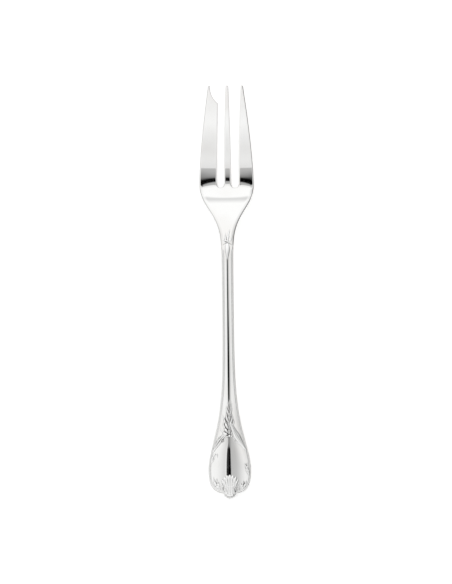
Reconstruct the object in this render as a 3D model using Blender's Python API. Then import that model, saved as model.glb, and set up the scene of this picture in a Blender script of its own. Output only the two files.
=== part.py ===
"""Serving fork in polished silver: three tines, the left one broad with a notched cutting tip.

The fork lies face up on a table, tines toward +Y, handle toward -Y, +Z up.
Its origin is on the table, under the middle of its length.
A "station" is a length along the fork, measured from the lobe at the handle's end.
"""

import math

import bmesh
import bpy
import numpy as np

MM = 0.001

# Lengths along the fork
HANDLE_LENGTH = 146.0 * MM  # end lobe to the middle of the soldered joint at the neck
HEAD_LENGTH = 99.0 * MM  # middle of the soldered joint to the tine tips
TINE_LENGTH = 57.5 * MM  # tine tips to where the slots' round bottoms begin
SCARF_LENGTH = 12.0 * MM  # run of the slanted solder joint

# Widths
HEAD_WIDTH = 32.6 * MM
STEM_WIDTH = 7.1 * MM
SPATULA_WIDTH = 25.4 * MM
SHOULDER_LENGTH = 20.6 * MM  # reach of the bell curve from palm to neck
SHOULDER_POWER = 2.3
FLARE_LENGTH = 28.2 * MM  # reach of the bell curve from handle end to stem
FLARE_POWER = 1.65

# Handle end: a squared round end with a small lobe below it
SPATULA_WIDEST = 17.5 * MM  # station of the widest place
END_SQUARENESS = 2.8
LOBE_RADIUS = 4.0 * MM
LOBE_DEPTH = 2.9 * MM  # how far the lobe stands out below the round end

# Tines and slots, across from the centre line
LEFT_SLOT_X = -3.55 * MM
LEFT_SLOT_WIDTH = 3.9 * MM
RIGHT_SLOT_X = 5.0 * MM
RIGHT_SLOT_WIDTH = 4.2 * MM
TIP_INSET = 5.9 * MM  # how far the outer edges lean in over the tines' length
OUTER_POWER = 1.5
INNER_POWER = 1.6
CENTRE_TIP_X = 0.85 * MM
CENTRE_TIP_WIDTH = 1.7 * MM
RIGHT_TIP_WIDTH = 1.4 * MM
LEFT_TIP_WIDTH = 1.2 * MM
NOTCH_LENGTH = 10.8 * MM  # cutting notch, measured from the tip
NOTCH_CORNER_X = -4.8 * MM
NOTCH_POWER = 1.6

# Side profile: slopes of the middle plane, rise over run
SHOULDER_SLOPE = 0.70  # steepest place, between neck and palm
LIP_SLOPE = 0.61  # just behind the steepest place
HEEL_SLOPE = 0.075
ROOT_SLOPE = 0.20
TIP_SLOPE = 0.33
NECK_BEND_RUN = 2.0 * MM  # joint back to where the straight stem starts to bend
LIP_RUN = 3.0 * MM  # quick bend behind the steepest place
PALM_RUN = 9.2 * MM  # slots' round bottoms back to the steepest place
TINE_BEND_RUN = 9.5 * MM
HEEL_ARC = 2.5 * MM  # how far the heel draws back toward the handle at its sides

# Section: thickness at the edge, and the crowns in front and behind
SPATULA_EDGE = 1.9 * MM
NECK_EDGE = 2.8 * MM
PALM_EDGE = 2.2 * MM
TIP_EDGE = 1.2 * MM
SPATULA_CROWN = 1.6 * MM
FLANK_SLOPE = 0.17  # fall over run from the stem's ridge to its edges
RIDGE_FLAT = 0.5 * MM  # half the width of the stem's flat ridge, where the handle end begins
RIDGE_TAPER = 0.1  # share of that width that is left at the neck
RIDGE_BEND = 1.0 * MM  # width of the bend from the ridge to the flank
HEAD_CROWN = 0.15 * MM
BACK_CROWN = 0.5 * MM
CROWN_REACH = 2.4 * MM  # width of the soft fall from crown to edge on the handle
HEAD_REACH = 1.2 * MM  # the same on the flat head
CROWN_POWER = 3
EDGE_ROUND = 0.6 * MM
BEVEL_WIDTH = 2.2 * MM  # bevel along the shoulders' edge
BEVEL_SHARE = 0.8  # share of the front's height that the bevel takes off at the edge
BEVEL_POWER = 1.5
REST_FLAT = 0.3 * MM  # depth worn flat where the fork rests on the table
END_REST = 2.0 * MM  # station of the rest under the handle end

# Applied ornament
SOLDER_GAP = 0.15 * MM
ORNAMENT_CLEARANCE = 0.35 * MM
THREAD_INSET = 0.3 * MM
THREAD_WIDTH = 1.35 * MM
THREAD_HEIGHT = 0.5 * MM
THREAD_GROOVE = 0.5  # depth of the groove between the two beads, as a share of their height
THREAD_GROOVE_WIDTH = 0.35  # as a share of the thread's half width
THREAD_START_X = 6.2 * MM  # where each thread starts beside the shell, across from the centre line
NECK_LEAF_LENGTH = 14.0 * MM
NECK_LEAF_WIDTH = 5.4 * MM
NECK_LEAF_HEIGHT = 0.9 * MM
SPRAY_START = 41.0 * MM
SPRAY_LENGTH = 16.0 * MM
SPRAY_HEIGHT = 0.9 * MM
SCROLL_WIDTH = 3.4 * MM
SCROLL_HEIGHT = 0.8 * MM
SCROLL_FLUTES = 2
CURL_RADIUS = 1.5 * MM  # where the band enters its curl
CURL_EYE = 0.6 * MM  # radius of the line at the curl's end
CURL_WIDTH = 1.7 * MM  # band's width where it enters its curl
CURL_END_WIDTH = 0.8 * MM
CURL_START = math.radians(150)  # around the curl, from the way across
CURL_TURN = math.radians(300)
LEFT_SCROLL_END = 27.6 * MM  # station where each band meets the thread
RIGHT_SCROLL_END = 29.0 * MM
SIDE_LEAF_LENGTH = 6.0 * MM
SIDE_LEAF_WIDTH = 2.6 * MM
SIDE_LEAF_HEIGHT = 0.7 * MM
LEFT_SIDE_LEAF_START = 20.6 * MM
RIGHT_SIDE_LEAF_START = 15.2 * MM
BASE_LEAF_LENGTH = 6.2 * MM
BASE_LEAF_WIDTH = 2.5 * MM
BASE_LEAF_HEIGHT = 0.8 * MM
BASE_LEAF_START = 7.4 * MM
LEAF_BELLY = 0.75  # under 1 moves a leaf's widest place towards its root
LEAF_FULLNESS = 0.7  # under 1 makes a leaf's sides fuller
LEAF_NOTCH = 0.5  # depth of the notches between lobes, as a share of the half width
LEAF_RAKE = 0.8  # how far the edges sweep towards the tip, as a share of the half width
LEAF_VEIN = 0.45  # depth of the vein down the middle, as a share of the leaf's height
LEAF_VEIN_WIDTH = 0.22  # as a share of the half width
LEAF_FURROW = 0.5  # depth of the furrows between lobes, as a share of the leaf's height
FLUTE_DEPTH = 0.6  # as a share of a band's height
SHELL_HUB = 5.0 * MM  # station that the shell's flutes spread from
SHELL_LENGTH = 8.8 * MM  # hub to the top of the fan
SHELL_FOOT = 4.0 * MM  # hub to the edge of the lower lobe
SHELL_SPREAD = math.radians(50)
SHELL_POWER = 4
SHELL_HEIGHT = 1.3 * MM
SHELL_RIBS = 33
SHELL_FLUTE = 0.4  # depth of the flutes, as a share of the shell's height
SHELL_SCALLOP = 0.06  # depth of the scallops in its edge, as a share of its reach
SHELL_EAR = 1.0 * MM  # how far the ear on each side of the hub stands out
SHELL_EAR_ANGLE = math.radians(92)
SHELL_EAR_SPREAD = math.radians(16)

# Fineness of the facets
OUTLINE_STEPS = 220
OUTLINE_CROWDING = 1.8  # rows crowd towards the handle end and the tine tips
ARC_STEPS = 24
SLOT_STEPS = 6
PALM_ROWS = 12
PALM_CROWDING = 1.25
TINE_ROWS = 8
NOTCH_ROWS = 4
TINE_COLUMNS = (5, 3, 4)
HANDLE_ROWS = 54
HANDLE_COLUMNS = 13
THREAD_ROWS = 46
THREAD_CROWDING = 1.5
LEAF_COLUMNS = 8
LEAF_ROWS = 5  # rows to each lobe
BAND_ROWS = 15
BAND_CROWDING = 1.7  # rows crowd towards a band's rounded foot
CURL_ROWS = 15
RIB_COLUMNS = 2  # one on each ridge and one in each flute
SHELL_RINGS = (0.0, 0.35, 0.65, 0.85, 0.96, 1.0)
SHELL_SWELL = (0.6, 0.7, 0.9, 1.0, 0.8, 0.0)  # height at each ring, highest near the lip
EDGE_NEAR = 0.2  # first column inside an edge, as a share of its rounding
EDGE_MOST = 0.3  # most of a narrow tine's width that one rounded edge may take
SHARP_ANGLE = math.radians(35)
WELD = 0.0005 * MM
LEAN_STEP = 0.05 * MM  # step over which the outline's lean is taken

TIP = HANDLE_LENGTH + HEAD_LENGTH
SEAM = HANDLE_LENGTH + SCARF_LENGTH / 2
SPRING = TIP - TINE_LENGTH
STEEPEST = SPRING - PALM_RUN
NOTCH_CORNER = TIP - NOTCH_LENGTH


def bell(distance, reach, power):
    """Fall smoothly from 1 at no distance towards 0 beyond the reach."""
    return np.exp(-((np.maximum(distance, 0.0) / reach) ** power))


def ease(start, end, value):
    """Rise smoothly from 0 at start to 1 at end."""
    share = np.clip((value - start) / (end - start), 0.0, 1.0)
    return share * share * (3.0 - 2.0 * share)


def quarter_round(distance, reach):
    """Rise as a quarter circle does, from 0 at the edge to 1 at the reach."""
    return np.sqrt(1.0 - (1.0 - np.clip(distance / reach, 0.0, 1.0)) ** 2)


def soft_fall(distance, reach):
    """Fall softly from 1 at the reach to 0 at the edge."""
    return 1.0 - (1.0 - np.clip(distance / reach, 0.0, 1.0)) ** CROWN_POWER


def half_width(station):
    """Half the width of handle, neck and palm."""
    flare = (SPATULA_WIDTH - STEM_WIDTH) / 2 * bell(station - SPATULA_WIDEST, FLARE_LENGTH, FLARE_POWER)
    shoulder = (HEAD_WIDTH - STEM_WIDTH) / 2 * bell(SPRING - station, SHOULDER_LENGTH, SHOULDER_POWER)
    side = STEM_WIDTH / 2 + flare + shoulder
    reach = np.clip((SPATULA_WIDEST - station) / (SPATULA_WIDEST - LOBE_DEPTH), 0.0, 1.0)
    round_end = side * (1.0 - reach**END_SQUARENESS) ** (1.0 / END_SQUARENESS)
    lobe = np.sqrt(np.maximum(LOBE_RADIUS**2 - (station - LOBE_RADIUS) ** 2, 0.0))
    return np.maximum(round_end, lobe)


def tine_edges(station):
    """Left and right edge of each tine, from left to right, for stations along the tines."""
    share = np.clip((station - SPRING) / TINE_LENGTH, 0.0, 1.0)
    outer = HEAD_WIDTH / 2 - TIP_INSET * share**OUTER_POWER
    lean = share**INNER_POWER

    def inner(root, tip):
        return root + (tip - root) * lean

    tip_outer = HEAD_WIDTH / 2 - TIP_INSET
    left_inner = inner(LEFT_SLOT_X - LEFT_SLOT_WIDTH / 2, NOTCH_CORNER_X)
    notch_share = np.clip((TIP - station) / NOTCH_LENGTH, 0.0, 1.0)
    notch_tip = LEFT_TIP_WIDTH - tip_outer
    corner = LEFT_SLOT_X - LEFT_SLOT_WIDTH / 2
    corner_lean = (1.0 - NOTCH_LENGTH / TINE_LENGTH) ** INNER_POWER
    corner = corner + (NOTCH_CORNER_X - corner) * corner_lean
    notch = notch_tip + (corner - notch_tip) * notch_share**NOTCH_POWER
    left_inner = np.where(station > NOTCH_CORNER, notch, left_inner)

    centre_left = inner(LEFT_SLOT_X + LEFT_SLOT_WIDTH / 2, CENTRE_TIP_X - CENTRE_TIP_WIDTH / 2)
    centre_right = inner(RIGHT_SLOT_X - RIGHT_SLOT_WIDTH / 2, CENTRE_TIP_X + CENTRE_TIP_WIDTH / 2)
    right_inner = inner(RIGHT_SLOT_X + RIGHT_SLOT_WIDTH / 2, tip_outer - RIGHT_TIP_WIDTH)

    edges = []
    pairs = ((-outer, left_inner), (centre_left, centre_right), (right_inner, outer))
    for (left, right), tip_width in zip(pairs, (LEFT_TIP_WIDTH, CENTRE_TIP_WIDTH, RIGHT_TIP_WIDTH)):
        radius = tip_width / 2
        past = np.clip((station - (TIP - radius)) / radius, 0.0, 1.0)
        half = (right - left) / 2 * np.sqrt(1.0 - past**2)
        middle = (left + right) / 2
        edges.append((middle - half, middle + half))
    return edges


def slot_arc(centre, width, steps):
    """Round bottom of a slot, from its left side to its right side, as x and station."""
    angle = np.linspace(0.0, math.pi, steps + 1)
    return centre - width / 2 * np.cos(angle), SPRING - width / 2 * np.sin(angle)


def fork_outline():
    """The whole fork's outline in plan, as one closed ring of points."""
    share = np.linspace(0.0, 1.0, OUTLINE_STEPS)
    handle = SPRING * share**OUTLINE_CROWDING
    half = half_width(handle)
    tine = TIP - TINE_LENGTH * (1.0 - share) ** OUTLINE_CROWDING
    left, centre, right = tine_edges(tine)
    left_arc = slot_arc(LEFT_SLOT_X, LEFT_SLOT_WIDTH, ARC_STEPS)
    right_arc = slot_arc(RIGHT_SLOT_X, RIGHT_SLOT_WIDTH, ARC_STEPS)
    runs = [
        (half, handle),
        (right[1], tine),
        (right[0][::-1], tine[::-1]),
        (right_arc[0][::-1], right_arc[1][::-1]),
        (centre[1], tine),
        (centre[0][::-1], tine[::-1]),
        (left_arc[0][::-1], left_arc[1][::-1]),
        (left[1], tine),
        (left[0][::-1], tine[::-1]),
        (-half[::-1], handle[::-1]),
    ]
    ring = np.concatenate([np.column_stack(run) for run in runs])
    step = np.linalg.norm(ring - np.roll(ring, 1, axis=0), axis=1)
    return ring[step > WELD]


OUTLINE = fork_outline()


def edge_distance(x, station):
    """Distance of each plan point from the fork's outline."""
    points = np.column_stack((np.ravel(x), np.ravel(station)))
    start = OUTLINE
    run = np.roll(OUTLINE, -1, axis=0) - start
    length = np.sum(run**2, axis=1)
    offset = points[:, None, :] - start[None, :, :]
    along = np.clip(np.sum(offset * run, axis=2) / length, 0.0, 1.0)
    nearest = np.linalg.norm(offset - along[..., None] * run, axis=2).min(axis=1)
    return nearest.reshape(np.shape(x))


def edge_thickness(station):
    """Thickness of the metal before its crowns are added."""
    stations = (0.0, SPATULA_WIDEST, HANDLE_LENGTH, SPRING, TIP)
    return np.interp(station, stations, (SPATULA_EDGE, SPATULA_EDGE, NECK_EDGE, PALM_EDGE, TIP_EDGE))


def ridge_fall(x, station):
    """How far the handle's front falls from its straight ridge.

    The stem has a narrow flat ridge between two flat flanks, and the handle end is evenly round.
    """
    flare_end = SPATULA_WIDEST + 2 * FLARE_LENGTH
    flat = RIDGE_FLAT * np.interp(station, (flare_end, HANDLE_LENGTH), (1.0, RIDGE_TAPER))
    past = np.maximum(np.abs(x) - flat, 0.0)
    bend = np.minimum(past / RIDGE_BEND, 1.0)
    run = RIDGE_BEND * (bend**3 - bend**4 / 2) + np.maximum(past - RIDGE_BEND, 0.0)
    stem_share = ease(SPATULA_WIDEST, flare_end, station)
    half = np.maximum(half_width(station), WELD)
    return stem_share * FLANK_SLOPE * run + (1.0 - stem_share) * SPATULA_CROWN * (x / half) ** 2


def edge_fall(station):
    """How far the handle's edges lie below its ridge."""
    return ridge_fall(half_width(station), station)


def side_profile():
    """Stations, slopes and heights of the handle's ridge and the head's middle plane, a chain of even bends.

    The stem's slope is worked out so that palm and handle end both rest on the table.
    """
    bend = HANDLE_LENGTH - NECK_BEND_RUN
    lip = STEEPEST - LIP_RUN
    stations = np.array([END_REST, bend, lip, STEEPEST, SPRING, SPRING + TINE_BEND_RUN, TIP])
    end_height = SPATULA_EDGE / 2 + BACK_CROWN * soft_fall(END_REST, CROWN_REACH) - REST_FLAT
    end_height += float(edge_fall(np.array(END_REST)))
    heel_height = PALM_EDGE / 2 + BACK_CROWN - REST_FLAT
    neck_fall = LIP_SLOPE / 2 * (STEEPEST - bend)
    palm_fall = SHOULDER_SLOPE / 2 * (SPRING - lip) - HEEL_SLOPE / 2 * PALM_RUN
    lever = (bend - END_REST) + (lip - bend) / 2
    stem_slope = (heel_height - end_height + neck_fall + palm_fall) / lever
    falls = (-LIP_SLOPE, -SHOULDER_SLOPE)
    slopes = np.array([stem_slope, stem_slope, *falls, HEEL_SLOPE, ROOT_SLOPE, TIP_SLOPE])
    rises = (slopes[1:] + slopes[:-1]) / 2 * np.diff(stations)
    heights = end_height + np.concatenate(([0.0], np.cumsum(rises)))
    return stations, slopes, heights


PROFILE = side_profile()


def middle_height(station):
    """Height above the table of the handle's ridge plane and the head's middle plane."""
    stations, slopes, heights = PROFILE
    stretch = np.clip(np.searchsorted(stations, station, side="right") - 1, 0, len(stations) - 2)
    run = station - stations[stretch]
    bend = np.diff(slopes)[stretch] / np.diff(stations)[stretch]
    return heights[stretch] + slopes[stretch] * run + bend * run**2 / 2


def shoulder_bevel(distance, station):
    """Share of the front's height that is left beside the edge, where the shoulders are bevelled."""
    place = ease(HANDLE_LENGTH, HANDLE_LENGTH + SCARF_LENGTH, station)
    place = place * (1.0 - ease(STEEPEST, SPRING, station))
    depth = (1.0 - np.clip(distance / BEVEL_WIDTH, 0.0, 1.0)) ** BEVEL_POWER
    return 1.0 - BEVEL_SHARE * place * depth


def heel_drawn_back(x, station):
    """How far the heel's bends are drawn back toward the handle, more at the sides."""
    share = ease(STEEPEST, SPRING, station) * (1.0 - ease(SPRING, SPRING + TINE_BEND_RUN, station))
    return HEEL_ARC * (2.0 * x / HEAD_WIDTH) ** 2 * share


def fork_faces(x, station):
    """Heights of the front and the back of the fork at plan points."""
    distance = edge_distance(x, station)
    handle_share = 1.0 - ease(HANDLE_LENGTH, HANDLE_LENGTH + SCARF_LENGTH, station)
    head_share = ease(HANDLE_LENGTH, STEEPEST, station)
    fall = edge_fall(station)
    head_crown = HEAD_CROWN * soft_fall(distance, HEAD_REACH)
    front_crown = (fall - ridge_fall(x, station)) * handle_share + head_crown * head_share
    back_crown = BACK_CROWN * soft_fall(distance, CROWN_REACH)
    body = edge_thickness(station) / 2 * quarter_round(distance, EDGE_ROUND)
    drawn_back = heel_drawn_back(x, station)
    stem_slope = PROFILE[1][0]
    middle = middle_height(station + drawn_back) - stem_slope * drawn_back - fall * handle_share
    front = middle + body * shoulder_bevel(distance, station) + front_crown
    return front, np.maximum(middle - body - back_crown, 0.0)


def silver(name, colour, roughness):
    """Polished silver for one piece."""
    material = bpy.data.materials.new(name)
    material.use_nodes = True
    shader = material.node_tree.nodes["Principled BSDF"]
    shader.inputs["Base Color"].default_value = (*colour, 1.0)
    shader.inputs["Metallic"].default_value = 1.0
    shader.inputs["Roughness"].default_value = roughness
    material.diffuse_color = (*colour, 1.0)
    return material


def lay_grid(builder, x, station, height):
    """Lay a grid of faces through plan points; points that are not numbers leave a gap."""
    rows, columns = x.shape
    made = bmesh.ops.create_grid(builder, x_segments=columns - 1, y_segments=rows - 1, size=1.0)
    spare = []
    for vertex, across, along, up in zip(made["verts"], x.flat, station.flat, height.flat):
        if math.isnan(across):
            spare.append(vertex)
        else:
            vertex.co = (across, along - TIP / 2, up)
    bmesh.ops.delete(builder, geom=spare, context="VERTS")


def close_rim(solid, front, back):
    """Bring front and back together at every point on the rim of the solid grid."""
    padded = np.pad(solid, 1)
    rows, columns = solid.shape
    inside = solid.copy()
    for down in (0, 1, 2):
        for across in (0, 1, 2):
            inside &= padded[down : down + rows, across : across + columns]
    rim = solid & ~inside
    middle = (front[rim] + back[rim]) / 2
    front[rim] = middle
    back[rim] = middle


def make_body(x, station, front, back):
    """Close two grids over the same plan points into one body, welded where they meet."""
    builder = bmesh.new()
    lay_grid(builder, x, station, front)
    lay_grid(builder, x, station, back)
    bmesh.ops.remove_doubles(builder, verts=builder.verts, dist=WELD)
    return builder


def add_piece(name, builder, parent, collection, roughness, colour=(0.80, 0.79, 0.77)):
    """Turn a finished body into a named object with its own material."""
    bmesh.ops.recalc_face_normals(builder, faces=builder.faces)
    mesh = bpy.data.meshes.new(name)
    builder.to_mesh(mesh)
    builder.free()
    mesh.materials.append(silver(f"{name} silver", colour, roughness))
    mesh.shade_smooth()
    mesh.set_sharp_from_angle(angle=SHARP_ANGLE)
    piece = bpy.data.objects.new(name, mesh)
    piece.parent = parent
    collection.objects.link(piece)
    return piece


def cut_scarf(builder, keep_head):
    """Cut a body along the slanted solder joint, half the gap back from it, and close the cut.

    The joint rises toward the tines, so the handle laps over the head's tongue.
    """
    rise = NECK_EDGE + BACK_CROWN
    normal = np.array((0.0, -rise, SCARF_LENGTH)) / math.hypot(rise, SCARF_LENGTH)
    side = -1.0 if keep_head else 1.0
    centre = np.array((0.0, HANDLE_LENGTH - TIP / 2, middle_height(np.array(HANDLE_LENGTH))))
    point = centre + normal * side * SOLDER_GAP / 2
    geometry = builder.verts[:] + builder.edges[:] + builder.faces[:]
    made = bmesh.ops.bisect_plane(
        builder,
        geom=geometry,
        dist=WELD,
        plane_co=point,
        plane_no=normal,
        clear_inner=not keep_head,
        clear_outer=keep_head,
    )
    rim = [item for item in made["geom_cut"] if isinstance(item, bmesh.types.BMEdge)]
    bmesh.ops.contextual_create(builder, geom=rim)
    bmesh.ops.triangulate(builder, faces=[face for face in builder.faces if len(face.verts) > 4])


def edge_columns(left, right, inner_columns):
    """Points from a left edge to a right edge, close together at the rounded edges."""
    width = right - left
    inset = np.minimum(EDGE_ROUND, EDGE_MOST * width)
    near = [left, left + EDGE_NEAR * inset]
    far = [right - EDGE_NEAR * inset, right]
    shares = 0.5 - 0.5 * np.cos(np.linspace(0.0, math.pi, inner_columns))
    inner = [left + inset + (width - 2 * inset) * share for share in shares]
    return np.stack(near + inner + far, axis=-1)


def make_fork_head():
    """Palm and tines: one pierced grid for the front and one for the back."""
    start = HANDLE_LENGTH - SCARF_LENGTH
    slots = ((LEFT_SLOT_X, LEFT_SLOT_WIDTH), (RIGHT_SLOT_X, RIGHT_SLOT_WIDTH))

    root_x, root_station = [], []
    for index, (left, right) in enumerate(tine_edges(np.array(SPRING))):
        columns = edge_columns(left, right, TINE_COLUMNS[index])
        root_x.append(columns)
        root_station.append(np.full_like(columns, SPRING))
        if index < len(slots):
            arc_x, arc_station = slot_arc(*slots[index], SLOT_STEPS)
            root_x.append(arc_x[1:-1])
            root_station.append(arc_station[1:-1])
    root_x = np.concatenate(root_x)
    root_station = np.concatenate(root_station)

    edge_share = EDGE_ROUND / (SPRING - start)
    rows = np.linspace(1.0, 1.0 / PALM_ROWS, PALM_ROWS) ** PALM_CROWDING
    reach = np.concatenate((rows, (edge_share, EDGE_NEAR * edge_share, 0.0)))
    palm_station = root_station - reach[:, None] * (root_station - start)
    palm_x = root_x * half_width(palm_station) / half_width(np.array(SPRING))
    palm_x[-1] = root_x

    upper = np.linspace(SPRING, NOTCH_CORNER, TINE_ROWS + 1)[1:]
    tine_x, tine_station = [], []
    for index, tip_width in enumerate((LEFT_TIP_WIDTH, CENTRE_TIP_WIDTH, RIGHT_TIP_WIDTH)):
        radius = tip_width / 2
        middle = np.linspace(NOTCH_CORNER, TIP - radius, NOTCH_ROWS + 1)[1:]
        cap = TIP - radius * (1.0 - np.sin(np.radians((30.0, 60.0, 90.0))))
        stations = np.concatenate((upper, middle, cap))
        left, right = tine_edges(stations)[index]
        columns = edge_columns(left, right, TINE_COLUMNS[index])
        tine_x.append(columns)
        tine_station.append(np.repeat(stations[:, None], columns.shape[1], axis=1))
        if index < len(slots):
            gap = np.full((len(stations), SLOT_STEPS - 1), np.nan)
            tine_x.append(gap)
            tine_station.append(gap)
    x = np.vstack((palm_x, np.hstack(tine_x)))
    station = np.vstack((palm_station, np.hstack(tine_station)))
    solid = ~np.isnan(x)
    front = np.full_like(x, np.nan)
    back = np.full_like(x, np.nan)
    front[solid], back[solid] = fork_faces(x[solid], station[solid])
    close_rim(solid, front, back)
    builder = make_body(x, station, front, back)
    cut_scarf(builder, keep_head=True)
    return builder


def make_handle():
    """Stem and flat end: one grid for the front and one for the back."""
    end = HANDLE_LENGTH + SCARF_LENGTH
    station = end * np.linspace(0.0, 1.0, HANDLE_ROWS + 1) ** OUTLINE_CROWDING
    half = half_width(station)
    x = edge_columns(-half, half, HANDLE_COLUMNS)
    station = np.repeat(station[:, None], x.shape[1], axis=1)
    front, back = fork_faces(x, station)
    close_rim(np.ones(x.shape, dtype=bool), front, back)
    builder = make_body(x, station, front, back)
    cut_scarf(builder, keep_head=False)
    return builder


def make_relief(x, station, relief):
    """An applied ornament: a relief that stands on the fork's front, on its solder."""
    front, _ = fork_faces(x, station)
    seat = front + SOLDER_GAP
    return make_body(x, station, seat + relief, seat)


def field_edge(station):
    """Half the width of the plain field between the two threads."""
    lean = (half_width(station + LEAN_STEP) - half_width(station - LEAN_STEP)) / (2 * LEAN_STEP)
    return half_width(station) - (THREAD_INSET + THREAD_WIDTH + ORNAMENT_CLEARANCE) * np.hypot(1.0, lean)


def thread_path():
    """Points along the handle's right edge, from beside the shell to the neck leaf, and how far along."""
    finish = SEAM - NECK_LEAF_LENGTH / 2 - ORNAMENT_CLEARANCE
    station = finish * np.linspace(0.0, 1.0, OUTLINE_STEPS) ** OUTLINE_CROWDING
    half = half_width(station)
    start = np.argmax(half > THREAD_START_X)
    edge = np.column_stack((half, station))[start:]
    along = np.concatenate(([0.0], np.cumsum(np.linalg.norm(np.diff(edge, axis=0), axis=1))))
    reach = along[-1] * np.linspace(0.0, 1.0, THREAD_ROWS + 1) ** THREAD_CROWDING
    path = np.column_stack([np.interp(reach, along, edge[:, axis]) for axis in (0, 1)])
    return path, reach


def make_thread(side):
    """Double-bead border strip along one front edge, from beside the shell to the neck leaf."""
    path, reach = thread_path()
    run = np.gradient(path, reach, axis=0)
    run /= np.linalg.norm(run, axis=1)[:, None]
    spread = np.cos(np.linspace(math.pi, 0.0, LEAF_COLUMNS + 1))
    taper = quarter_round(np.minimum(reach, reach[-1] - reach), THREAD_WIDTH)[:, None]
    inset = THREAD_INSET + THREAD_WIDTH / 2 * (1.0 + spread * taper)
    x = side * (path[:, :1] - run[:, 1:] * inset)
    station = path[:, 1:] + run[:, :1] * inset
    bead = np.sqrt(1.0 - spread**2) * (1.0 - THREAD_GROOVE * bell(np.abs(spread), THREAD_GROOVE_WIDTH, 2))
    return make_relief(x, station, THREAD_HEIGHT * bead * taper)


def bent_line(points, share):
    """Points along a smooth line from the first point to the last, drawn toward the one between them."""
    root, bend, tip = (np.array(point) for point in points)
    late = share[:, None]
    return (1.0 - late) ** 2 * root + 2.0 * late * (1.0 - late) * bend + late**2 * tip


def spread_columns():
    """Places across an ornament, from -1 at one edge to 1 at the other, close together at the edges."""
    return np.cos(np.linspace(math.pi, 0.0, LEAF_COLUMNS + 1))


def make_strip(line, half, relief, rake=0.0):
    """An ornament of given half widths along a line, its edges swept forward by the rake."""
    run = np.gradient(line, axis=0)
    run /= np.linalg.norm(run, axis=1)[:, None]
    spread = half[:, None] * spread_columns()
    sweep = rake * half[:, None] * spread_columns() ** 2
    x = line[:, :1] + run[:, 1:] * spread + run[:, :1] * sweep
    station = line[:, 1:] - run[:, :1] * spread + run[:, 1:] * sweep
    return make_relief(x, station, relief)


def make_leaf(points, width, height, lobes):
    """An acanthus leaf along a bent spine, with rounded lobes swept to its tip and a sunk vein."""
    share = np.linspace(0.0, 1.0, LEAF_ROWS * lobes + 1)
    spread = spread_columns()
    body = np.sin(math.pi * share**LEAF_BELLY) ** LEAF_FULLNESS
    body[[0, -1]] = 0.0
    notch = 1.0 - np.abs(np.sin(math.pi * lobes * share))
    half = width / 2 * body * (1.0 - LEAF_NOTCH * notch)
    vein = 1.0 - LEAF_VEIN * bell(np.abs(spread), LEAF_VEIN_WIDTH, 2)
    furrow = 1.0 - LEAF_FURROW * notch[:, None] * np.abs(spread)
    relief = height * body[:, None] * np.sqrt(1.0 - spread**2) * vein * furrow
    return make_strip(bent_line(points, share), half, relief, LEAF_RAKE)


def make_neck_leaf():
    """Leaf over the front seam of the solder joint, tip toward the tines."""
    root = SEAM - NECK_LEAF_LENGTH / 2
    tip = SEAM + NECK_LEAF_LENGTH / 2
    lean = NECK_LEAF_WIDTH / 6
    spine = ((0.0, root), (-lean, SEAM), (lean, tip))
    return make_leaf(spine, NECK_LEAF_WIDTH, NECK_LEAF_HEIGHT, lobes=4)


def make_stem_spray():
    """Spray of leaves along the middle, where the stem widens."""
    tip = SPRAY_START + SPRAY_LENGTH
    room = field_edge(tip)
    bend = room / 3
    spine = ((0.0, SPRAY_START), (-bend, SPRAY_START + SPRAY_LENGTH / 2), (0.0, tip))
    return make_leaf(spine, 2 * (room - bend / 2), SPRAY_HEIGHT, lobes=5)


def make_scroll(side, end):
    """Fluted band that sweeps up from one thread and curls in below the spray."""
    reach = CURL_RADIUS + CURL_WIDTH / 2 + ORNAMENT_CLEARANCE
    centre = np.array((-reach, SPRAY_START - reach))
    whirl = np.linspace(0.0, 1.0, CURL_ROWS + 1)[:, None]
    turn = CURL_START - CURL_TURN * whirl
    radius = CURL_RADIUS + (CURL_EYE - CURL_RADIUS) * whirl
    curl = centre + radius * np.hstack((np.cos(turn), np.sin(turn)))
    foot = np.array((SCROLL_WIDTH / 2 - field_edge(end), end))
    enter = np.array((math.sin(CURL_START), -math.cos(CURL_START)))
    bend = curl[0] - enter * np.linalg.norm(curl[0] - foot) / 2
    band = bent_line((foot, bend, curl[0]), np.linspace(0.0, 1.0, BAND_ROWS + 1) ** BAND_CROWDING)
    line = np.vstack((band, curl[1:]))
    places = (0, BAND_ROWS, BAND_ROWS + CURL_ROWS)
    half = np.interp(np.arange(len(line)), places, (SCROLL_WIDTH, CURL_WIDTH, CURL_END_WIDTH)) / 2
    line[:, 0] = np.maximum(line[:, 0], half - field_edge(line[:, 1]))
    along = np.concatenate(([0.0], np.cumsum(np.linalg.norm(np.diff(line, axis=0), axis=1))))
    taper = quarter_round(np.minimum(along, along[-1] - along), half)
    spread = spread_columns()
    groove = 1.0 - FLUTE_DEPTH * (0.5 - 0.5 * np.cos(math.pi * SCROLL_FLUTES * (spread + 1.0)))
    relief = SCROLL_HEIGHT * taper[:, None] * np.sqrt(1.0 - spread**2) * groove
    return make_strip(line * (-side, 1.0), half * taper, relief)


def make_side_leaf(side, start):
    """Small leaf that springs from one thread and curls in over the field."""
    half = SIDE_LEAF_WIDTH / 2
    root = side * (field_edge(start) - half)
    tip = root - side * half
    spine = ((root, start), (root, start + SIDE_LEAF_LENGTH / 2), (tip, start + SIDE_LEAF_LENGTH))
    return make_leaf(spine, SIDE_LEAF_WIDTH, SIDE_LEAF_HEIGHT, lobes=3)


def shell_radius(angle):
    """Reach of the shell from its hub, by the angle away from the fork's length."""
    fan = (SHELL_LENGTH - SHELL_FOOT) * bell(np.abs(angle), SHELL_SPREAD, SHELL_POWER)
    ears = SHELL_EAR * bell(np.abs(np.abs(angle) - SHELL_EAR_ANGLE), SHELL_EAR_SPREAD, 2)
    return SHELL_FOOT + fan + ears


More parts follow.
